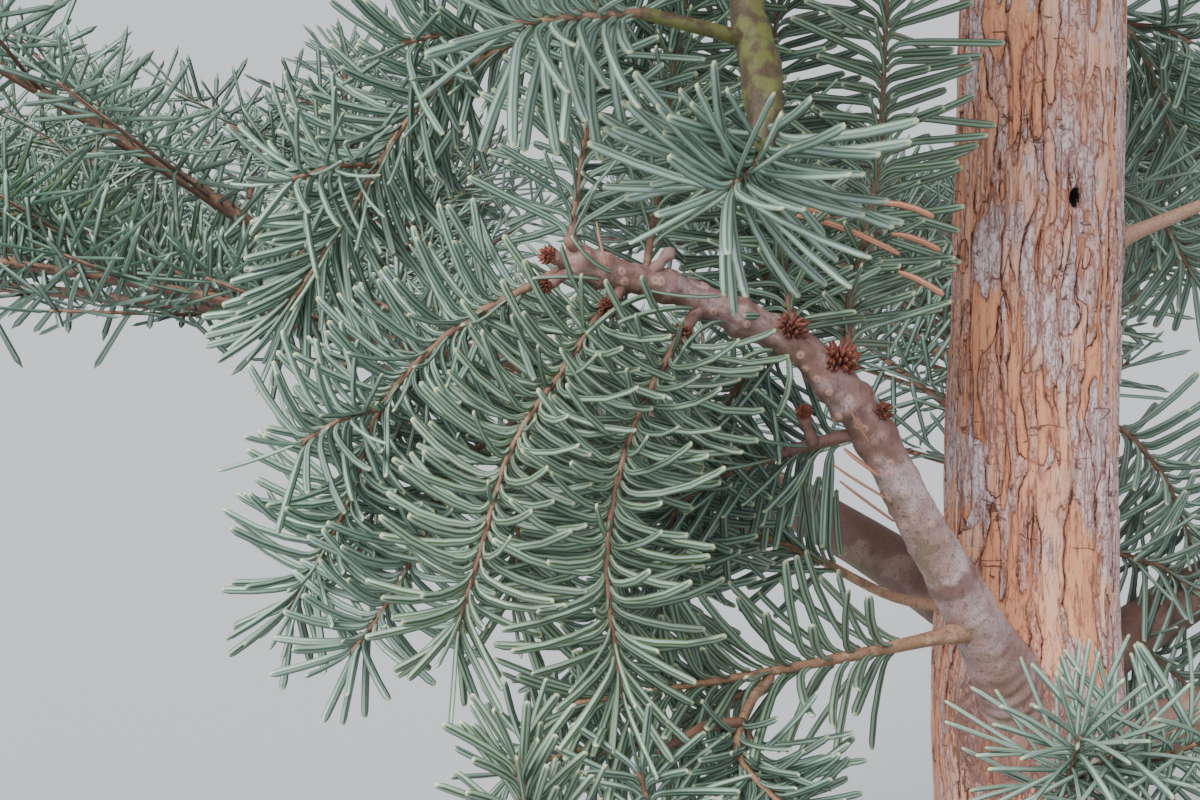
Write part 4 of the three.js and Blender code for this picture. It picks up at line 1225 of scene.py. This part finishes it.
class FIR_OT_close_wood(bpy.types.Operator):
    """Makes the left bough, its knot, the old bough and the dead twig: tubes with swellings and scars"""

    bl_idname = "fir.close_wood"
    bl_label = "Close-up boughs"

    def execute(self, context):
        colors = context.scene.fir_boughs
        smooth_bark = limb_bark("bough_bark", colors.bark, colors.patch, scale=60.0, share=0.44, film=0.6)
        mossy = limb_bark("old_limb_bark", linear(72, 60, 38), colors.moss, scale=240.0, share=0.42, film=0.9)
        pale = limb_bark("dead_twig_bark", linear(186, 148, 124), linear(208, 182, 164), scale=90.0,
                         share=0.5)
        surface = Surface()
        self.left_bough(surface)
        self.old_bough(surface)
        share = np.linspace(0, 1, 30)
        radius = 3.0 - 1.1 * share + 2.4 * np.exp(-np.maximum(share - 0.32, 0) / 0.07)
        wood(surface, line_through(DEAD_TWIG, 30)[None], radius[None] * MM, 14, 2)
        surface.piece("close_boughs", [smooth_bark, mossy, pale], "limb_bark", ["bough_left", "bough_old"])
        return {"FINISHED"}

    @staticmethod
    def old_bough(surface):
        """The mossy old bough: a taper with lumps, fourteen ridges and a swelling near its end; its twig."""
        line = line_through(OLD_BOUGH + OLD_TIP[1:2], 90)
        share = np.linspace(0, 1, 90)
        radius = 5.2 - 1.5 * share + 1.3 * np.exp(-(((share - 0.93) / 0.03) ** 2))
        x, y = np.meshgrid(np.arange(24) / 24 * 8, share * 40)
        lumps = 0.8 * lattice_noise(x, y, 8, 7.7) + 0.45 * lattice_noise(2 * x, 2.2 * y, 16, 2.9)
        lumps = lumps + 0.7 * np.exp(-(((share * 14) % 1 - 0.5) / 0.12) ** 2)[:, None]
        wood(surface, line[None], radius[None] * MM, 24, 1, relief=lumps[None] * MM)
        wood(surface, line_through(OLD_TWIG, 20)[None], np.linspace(2.1, 1.6, 20)[None] * MM, 12, 1)

    @staticmethod
    def left_bough(surface):
        """The left bough: a taper with swellings at its whorls, growth rings, fine bumps and leaf scars.

        A leaf scar rises by 0.5 mm exp(-(d / LEAF_SCAR_RADIUS)²), with d the distance from its middle in
        millimetres. Near the trunk the bough's underside reaches down by 14 mm exp(-s / 0.11), with s the
        share of the way to the knot, and folds cross it.
        """
        stations, sides = 330, 48
        whole = np.concatenate([line_through(LEFT_BOUGH, 220)[:-1], line_through(KNOT, 120)])
        line = evenly(whole, stations)
        share = np.linspace(0, 1, stations)
        bough = np.clip(share / KNOT_SHARE, 0, 1)
        knot = np.clip((share - KNOT_SHARE) / (1 - KNOT_SHARE), 0, 1)
        radius = 9.0 - 4.2 * bough + 6.0 * np.exp(-bough / 0.08) - 0.9 * knot
        # The outer half of the bough and its knot are browned as painted shade; each swelling is browned as a
        # scar
        whorl = 0.72 * smooth((bough - 0.5) / 0.2)
        for at, rise, half in LEFT_BOUGH_SWELLINGS:
            radius = radius + rise * np.exp(-(((share - at) / half) ** 2))
            whorl = np.maximum(whorl, 0.9 * np.exp(-(((share - at) / half) ** 2)))
        radius[-6:] *= np.linspace(0.95, 0.55, 6)
        turn = np.arange(sides) / sides
        x, y = np.meshgrid(turn * 12, share * 34)
        bumps = 0.32 * lattice_noise(x, y, 12, 4.4) + 0.14 * lattice_noise(x * 3, y * 3, 36, 1.9)
        bumps = bumps + 0.1 * lattice_noise(x * 0.5, y * 5, 6, 2.7)
        bumps = bumps + 0.12 * np.sin(share * 260)[:, None] * smooth((share - 0.45) / 0.1)[:, None]
        number = np.arange(LEAF_SCARS)
        at = 0.34 + 0.64 * chance(3.1, number)
        round_ = chance(5.7, number)
        length = np.linalg.norm(np.diff(line, axis=0), axis=1).sum() / MM
        sideways = np.abs((turn[None, :, None] - round_ + 0.5) % 1 - 0.5)
        sideways = sideways * 2 * math.pi * radius[:, None, None]
        away = np.hypot((share[:, None, None] - at) * length, sideways)
        leaf = np.exp(-((away / LEAF_SCAR_RADIUS) ** 2)).max(axis=-1)
        bumps = bumps + 0.5 * leaf
        folds = np.exp(-(((bough - 0.1) / 0.1) ** 2))[:, None]
        bumps = bumps + 0.36 * folds * np.sin(share[:, None] * 330 + 1.6 * lattice_noise(x * 0.5, y, 6, 3.6))
        under = np.clip(-np.cos(2 * math.pi * turn), 0, 1) ** 1.3
        bumps = bumps + 14 * np.exp(-bough / 0.11)[:, None] * under
        foot = smooth((0.42 - bough[:, None] + 0.1 * lattice_noise(x, y, 12, 9.2)) / 0.24)
        worn_and_shade = whorl[:, None] + 0.24 * lattice_noise(2 * x, 2 * y, 24, 5.1)
        scar = np.maximum(worn_and_shade, 0.64 * foot)
        wood(surface, line[None], radius[None] * MM, sides, 0, relief=bumps[None] * MM,
             scar=np.r_[scar.ravel(), 0, 0], leaf=np.r_[leaf.ravel(), 0, 0])


class FIR_OT_details(bpy.types.Operator):
    """Makes what clings to the left bough: spurs, bud scales, a few live needles and dead brown ones"""

    bl_idname = "fir.details"
    bl_label = "Small details"

    def execute(self, context):
        barks = [bpy.data.materials[name] for name in ("bough_bark", "older_twig_bark")]
        self.spurs().piece("spurs", barks, "limb_bark", [])
        dark = needle_material("scale_brown", linear(118, 68, 54), linear(150, 102, 82), linear(142, 90, 76))
        red = needle_material("scale_red", linear(138, 76, 60), linear(164, 112, 90), linear(156, 100, 82))
        self.bud_scales().piece("bud_scales", [dark, red], "limb_bark", [])
        live = Surface()
        single_needles(live, LIVE_NEEDLES, width=0.0023, seed=2.2)
        live.piece("single_needles", [bpy.data.materials["needles_green"]], "needles", [])
        dead = Surface()
        single_needles(dead, DEAD_NEEDLES[:5], width=0.0018, seed=3.3)
        single_needles(dead, DEAD_NEEDLES[5:], width=0.002, seed=4.4)
        band = linear(232, 184, 160)
        brown = needle_material("dead_needle", linear(186, 118, 90), linear(206, 150, 118), band)
        dead.piece("dead_needles", [brown], "needles", [])
        return {"FINISHED"}

    @staticmethod
    def spurs():
        """Short lumpy limbs, a little swollen near the end, and last the stub, which thins at its tip."""
        surface = Surface()
        lines = np.stack([line_through(points, 15) for points in SPURS])
        share = np.linspace(0, 1, 15)
        radius = (2.0 - 0.6 * share + 0.4 * np.exp(-(((share - 0.85) / 0.12) ** 2))) * MM
        radius = np.tile(radius, (len(SPURS), 1))
        radius[-1] = (1.6 - 1.1 * smooth((share - 0.5) / 0.5)) * MM
        x, y = np.meshgrid(np.arange(14) / 14 * 5, share * 6)
        lumps = 0.35 * MM * lattice_noise(x, y, 5, 6.1)
        kinds = np.array([0] * (len(SPURS) - 1) + [1])
        wood(surface, lines, radius, 14, kinds, facing=TOWARDS_VIEWER, relief=lumps[None], scar=0.8)
        return surface

    @staticmethod
    def bud_scales():
        """Clusters of pointed scales: very short needles round stubs that point the way each one opens."""
        surface = Surface()
        for seed, (middle, way, size) in enumerate(SCALE_CLUSTERS):
            start = np.array(middle) * MM
            way = unit(np.array(way, float))
            stub = evenly(np.array([start - way * 0.0014, start + way * 0.0035 * size]), 5)[None]
            per_metre = SCALES_PER_CLUSTER / (0.0049 * size)
            needle_field(surface, stub, per_metre, "scale", 31.0 + seed, TOWARDS_VIEWER, combed=0.0, bare=0.0,
                         tints=seed % 2, thick=0.0012 * size, ending=58.0, width=0.0022 * size,
                         length=0.0052 * size)
        return surface


class FIR_OT_close_shoots(bpy.types.Operator):
    """Makes the close-up shoots: thin twigs with needles of many faces, combed to both sides"""

    bl_idname = "fir.close_shoots"
    bl_label = "Close-up shoots"

    def execute(self, context):
        colors = context.scene.fir_boughs
        per_metre = context.scene.fir_needles.near_per_metre
        lines = np.stack([line_through(points) for points, *_ in CLOSE_SHOOTS])
        columns = (np.array(column) for column in list(zip(*CLOSE_SHOOTS))[1:])
        thick, bare, combed, lift, tints, dense, sizes = columns
        share = np.linspace(0, 1, LINE_POINTS)
        root_radii = thick[:, None] * MM
        radii = TWIG_TIP_RADIUS + (root_radii - TWIG_TIP_RADIUS) * (1 - share) ** 1.3
        radii = radii + 0.8 * root_radii * np.exp(-((share / 0.08) ** 2)) * (thick[:, None] > FLARED_SHOOT)
        radii = radii + 0.0004 * np.exp(-(((share - 0.985) / 0.02) ** 2))
        aged = thick > OLDER_SHOOT
        twigs = Surface()
        wood(twigs, lines, radii, 9, aged.astype(int), facing=TOWARDS_VIEWER)
        needles = Surface()
        needle_field(needles, lines, per_metre * dense, "near", 11.0, TOWARDS_VIEWER, combed=0.62 * combed,
                     bare=bare, size=sizes, tints=tints.astype(int), lift=lift,
                     thick=radii[:, LINE_POINTS // 2] * 0.8, ending=np.where(aged, 62, 90))
        young = limb_bark("twig_bark", colors.twig, linear(156, 122, 98), scale=300.0, share=0.5)
        older = limb_bark("older_twig_bark", linear(164, 124, 98), linear(196, 162, 132), scale=200.0,
                          share=0.5, film=0.3)
        nodes = node_names("foliage_left") + node_names("foliage_old")
        twigs.piece("close_twigs", [young, older], "limb_bark", nodes)
        nodes = ["foliage_low_front", "foliage_low_left", "foliage_upper_left"]
        needles.piece("close_needles", needle_materials(), "needles", nodes)
        return {"FINISHED"}


# The tiers whose needles make each piece. The inner piece has those near the roots of all the boughs.
LAYERS = {
    "inner": [],
    "low": ["low", "front"],
    "second": ["second"],
    "second_upper": ["second_upper"],
    "third": ["third", "third_upper"],
    "fourth": ["fourth", "fourth_upper"],
    "top": ["fifth", "sixth", "seventh", "leader"],
}


class FIR_OT_crown(bpy.types.Operator):
    """Grows the crown: every bough, its twigs by the part's rule, finer twigs on them, and their needles"""

    bl_idname = "fir.crown"
    bl_label = "Crown"

    def execute(self, context):
        settings = context.scene.fir_needles
        bark = limb_bark("crown_bark", linear(118, 88, 78), linear(152, 126, 114), scale=90.0, share=0.48,
                         film=0.4)
        stems = Surface()
        twigs = Surface()
        layers = {name: Surface() for name in LAYERS}
        layer_of = {tier: layers[name] for name, tiers in LAYERS.items() for tier in tiers}
        for bough in bough_lines():
            self.stem(stems, bough)
            self.sprays(settings, bough, twigs, layer_of[bough["tier"]], layers["inner"])
        self.leader(stems, layers["top"])
        stems.piece("crown_boughs", [bark], "limb_bark", node_names("bough_low") + node_names("bough_front"))
        twigs.piece("crown_twigs", [bpy.data.materials["twig_bark"]], "limb_bark", [])
        foliage = node_names("foliage")
        tiers = [node.removeprefix("foliage_").rstrip("_0123456789") for node in foliage]
        for name, layer in layers.items():
            nodes = [node for node, tier in zip(foliage, tiers) if tier in LAYERS[name]]
            layer.piece(f"needles_{name}", needle_materials(), "needles", nodes)
        return {"FINISHED"}

    @staticmethod
    def stem(stems, bough):
        """A bough: a taper to the power 0.9, flared at the trunk, with low lumps."""
        line = bough["line"]
        share = np.linspace(0, 1, len(line))
        radius = STEM_TIP_RADIUS + (bough["radius"] - STEM_TIP_RADIUS) * (1 - share) ** 0.9
        radius = radius + bough["radius"] * 0.35 * np.exp(-share / 0.05)
        x, y = np.meshgrid(np.arange(12) / 2, share * 24)
        lumps = 0.1 * radius[:, None] * lattice_noise(x, y, 6, bough["seed"])
        wood(stems, line[None], radius[None], 12, 0, relief=lumps[None])

    @staticmethod
    def sprays(settings, bough, twigs, layer, inner_layer):
        """A bough's first and second twigs, the inner twigs near its root, and the needles on them all."""
        line = bough["line"]
        seed = bough["seed"]
        height = line[0, 2]
        high = height > HIGH_BOUGHS
        root, way, length = first_twigs(bough)
        kept = length > SHORTEST_TWIG
        first = bowed(root[kept], way[kept], length[kept], 7)
        taper = np.linspace(1, 0.4, 7)[None] * (0.0011 + 0.0075 * length[kept])[:, None]
        wood(twigs, first, taper, 4, 0)
        second, parent = second_twigs(first, seed + 0.5)
        if len(second):
            wood(twigs, second[:, ::3], np.array([[0.0011, 0.0007]]), 3, 0)
        shape, every = ("middling", 0.015) if bough["name"] in CLOSER_BOUGHS else ("far", 0.024)
        near_root = evenly(line, 17, 0.0, 0.62)[None]
        inner, _ = second_twigs(near_root, seed + 0.7, every=every, share_of=0.3, longest=0.1,
                                start=0.05 if high else 0.24)
        wood(twigs, inner[:, ::3], np.array([[0.0016, 0.0009]]), 3, 0)
        bare = 0.03 if high else 0.14 if height > 0.6 else 0.26
        outer = evenly(line, 25, bare, 1.0)[None]
        tint = (3 * chance(seed + 3, np.arange(len(first)))).astype(int)
        inner_tint = (3 * chance(seed + 5, np.arange(len(inner)))).astype(int)
        grown = [
            (layer, outer, np.zeros(1, int)),
            (layer, first, tint),
            (layer, second, tint[parent]),
            (inner_layer, inner, inner_tint),
        ]
        width = HIGH_NEEDLE_WIDTH if high else CROWN_NEEDLE_WIDTH
        for number, (surface, lines, tints) in enumerate(grown):
            if len(lines):
                needle_field(surface, lines, settings.far_per_metre, shape, seed * 10 + number, UP,
                             combed=0.8, bare=0.1, tints=tints, width=width)

    @staticmethod
    def leader(stems, layer):
        """The leader: one upright shoot on the trunk's tip, with needles all round it and the stem below."""
        root = trunk_middle(TRUNK_TOP - 0.004)
        line = evenly(np.array([root, root + LEADER_WAY]), 17)[None]
        wood(stems, line, np.linspace(*LEADER_RADII, 17)[None], 12, 0, facing=ALONG_X)
        stem = trunk_middle(np.linspace(LEADER_NEEDLES_START, TRUNK_TOP, 17))[None]
        for seed, grown, thick in ((77.0, line, 0.003), (78.0, stem, 0.006)):
            needle_field(layer, grown, LEADER_PER_METRE, "middling", seed, ALONG_X, combed=0.0, bare=0.0,
                         thick=thick, width=CROWN_NEEDLE_WIDTH)


class FIR_OT_stage(bpy.types.Operator):
    """Makes the pale floor, the soft lights and the camera of the photograph's close-up"""

    bl_idname = "fir.stage"
    bl_label = "Stage"

    def execute(self, context):
        settings = context.scene.fir_stage
        self.floor(settings)
        world = bpy.data.worlds.new("studio")
        world.use_nodes = True
        sky = world.node_tree.nodes["Background"]
        sky.inputs["Color"].default_value = (*SKY_COLOR, 1)
        sky.inputs["Strength"].default_value = settings.sky_strength
        context.scene.world = world
        for (name, aim, spread), strength in zip(SUNS, (settings.key_strength, settings.fill_strength)):
            light = bpy.data.lights.new(name, "SUN")
            light.angle = math.radians(spread)
            light.energy = strength
            sun = self.place(name, light, (0, 0, 4))
            sun.rotation_euler = Vector(aim).to_track_quat("-Z", "Y").to_euler()
        lens = bpy.data.cameras.new("close_up")
        lens.lens = CAMERA_LENS
        lens.sensor_width = CAMERA_SENSOR
        lens.clip_start = 0.02
        camera = self.place("close_up", lens, CAMERA_PLACE)
        camera.rotation_euler = (CAMERA_TILT, 0, 0)
        context.scene.camera = camera
        return {"FINISHED"}

    @staticmethod
    def place(name, data, location):
        """An object in the scene at a location."""
        obj = bpy.data.objects.new(name, data)
        obj.location = location
        bpy.context.scene.collection.objects.link(obj)
        return obj

    @staticmethod
    def floor(settings):
        """A flat disc just under the ground."""
        turn = 2 * math.pi * np.arange(FLOOR_SIDES) / FLOOR_SIDES
        ring = np.stack([np.cos(turn), np.sin(turn), np.zeros(FLOOR_SIDES)], axis=1) * FLOOR_RADIUS
        mesh = bpy.data.meshes.new("floor")
        mesh.from_pydata((ring - FLOOR_DROP * UP).tolist(), [], [list(range(FLOOR_SIDES))])
        paint, graph, shader, _ = material("floor_paint", settings.floor, 0.9)
        graph.set(shader, "Specular IOR Level", 0.0)
        mesh.materials.append(paint)
        floor = FIR_OT_stage.place("floor", mesh, (0, 0, 0))


class FIR_PT_panel(bpy.types.Panel):
    """Lists the steps that grow the fir"""

    bl_label = "Noble Fir"
    bl_space_type = "VIEW_3D"
    bl_region_type = "UI"
    bl_category = "Noble Fir"

    def draw(self, context):
        for operator in OPERATORS:
            self.layout.operator(operator.bl_idname)
        for settings in SETTINGS:
            group = getattr(context.scene, settings)
            for name in group.bl_rna.properties.keys():
                if name not in ("rna_type", "name"):
                    self.layout.prop(group, name)


SETTINGS = {
    "fir_trunk": TrunkSettings,
    "fir_boughs": BoughSettings,
    "fir_needles": NeedleSettings,
    "fir_stage": StageSettings,
}
OPERATORS = [FIR_OT_stage, FIR_OT_trunk, FIR_OT_close_wood, FIR_OT_close_shoots, FIR_OT_details, FIR_OT_crown]


def register():
    for cls in [*SETTINGS.values(), *OPERATORS, FIR_PT_panel]:
        bpy.utils.register_class(cls)
    for name, cls in SETTINGS.items():
        setattr(bpy.types.Scene, name, bpy.props.PointerProperty(type=cls))


def unregister():
    for name in SETTINGS:
        delattr(bpy.types.Scene, name)
    for cls in reversed([*SETTINGS.values(), *OPERATORS, FIR_PT_panel]):
        bpy.utils.unregister_class(cls)


def main():
    """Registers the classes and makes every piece."""
    register()
    bpy.ops.fir.stage()
    bpy.ops.fir.trunk()
    bpy.ops.fir.close_wood()
    bpy.ops.fir.close_shoots()
    bpy.ops.fir.details()
    bpy.ops.fir.crown()


if __name__ == "__main__":
    main()
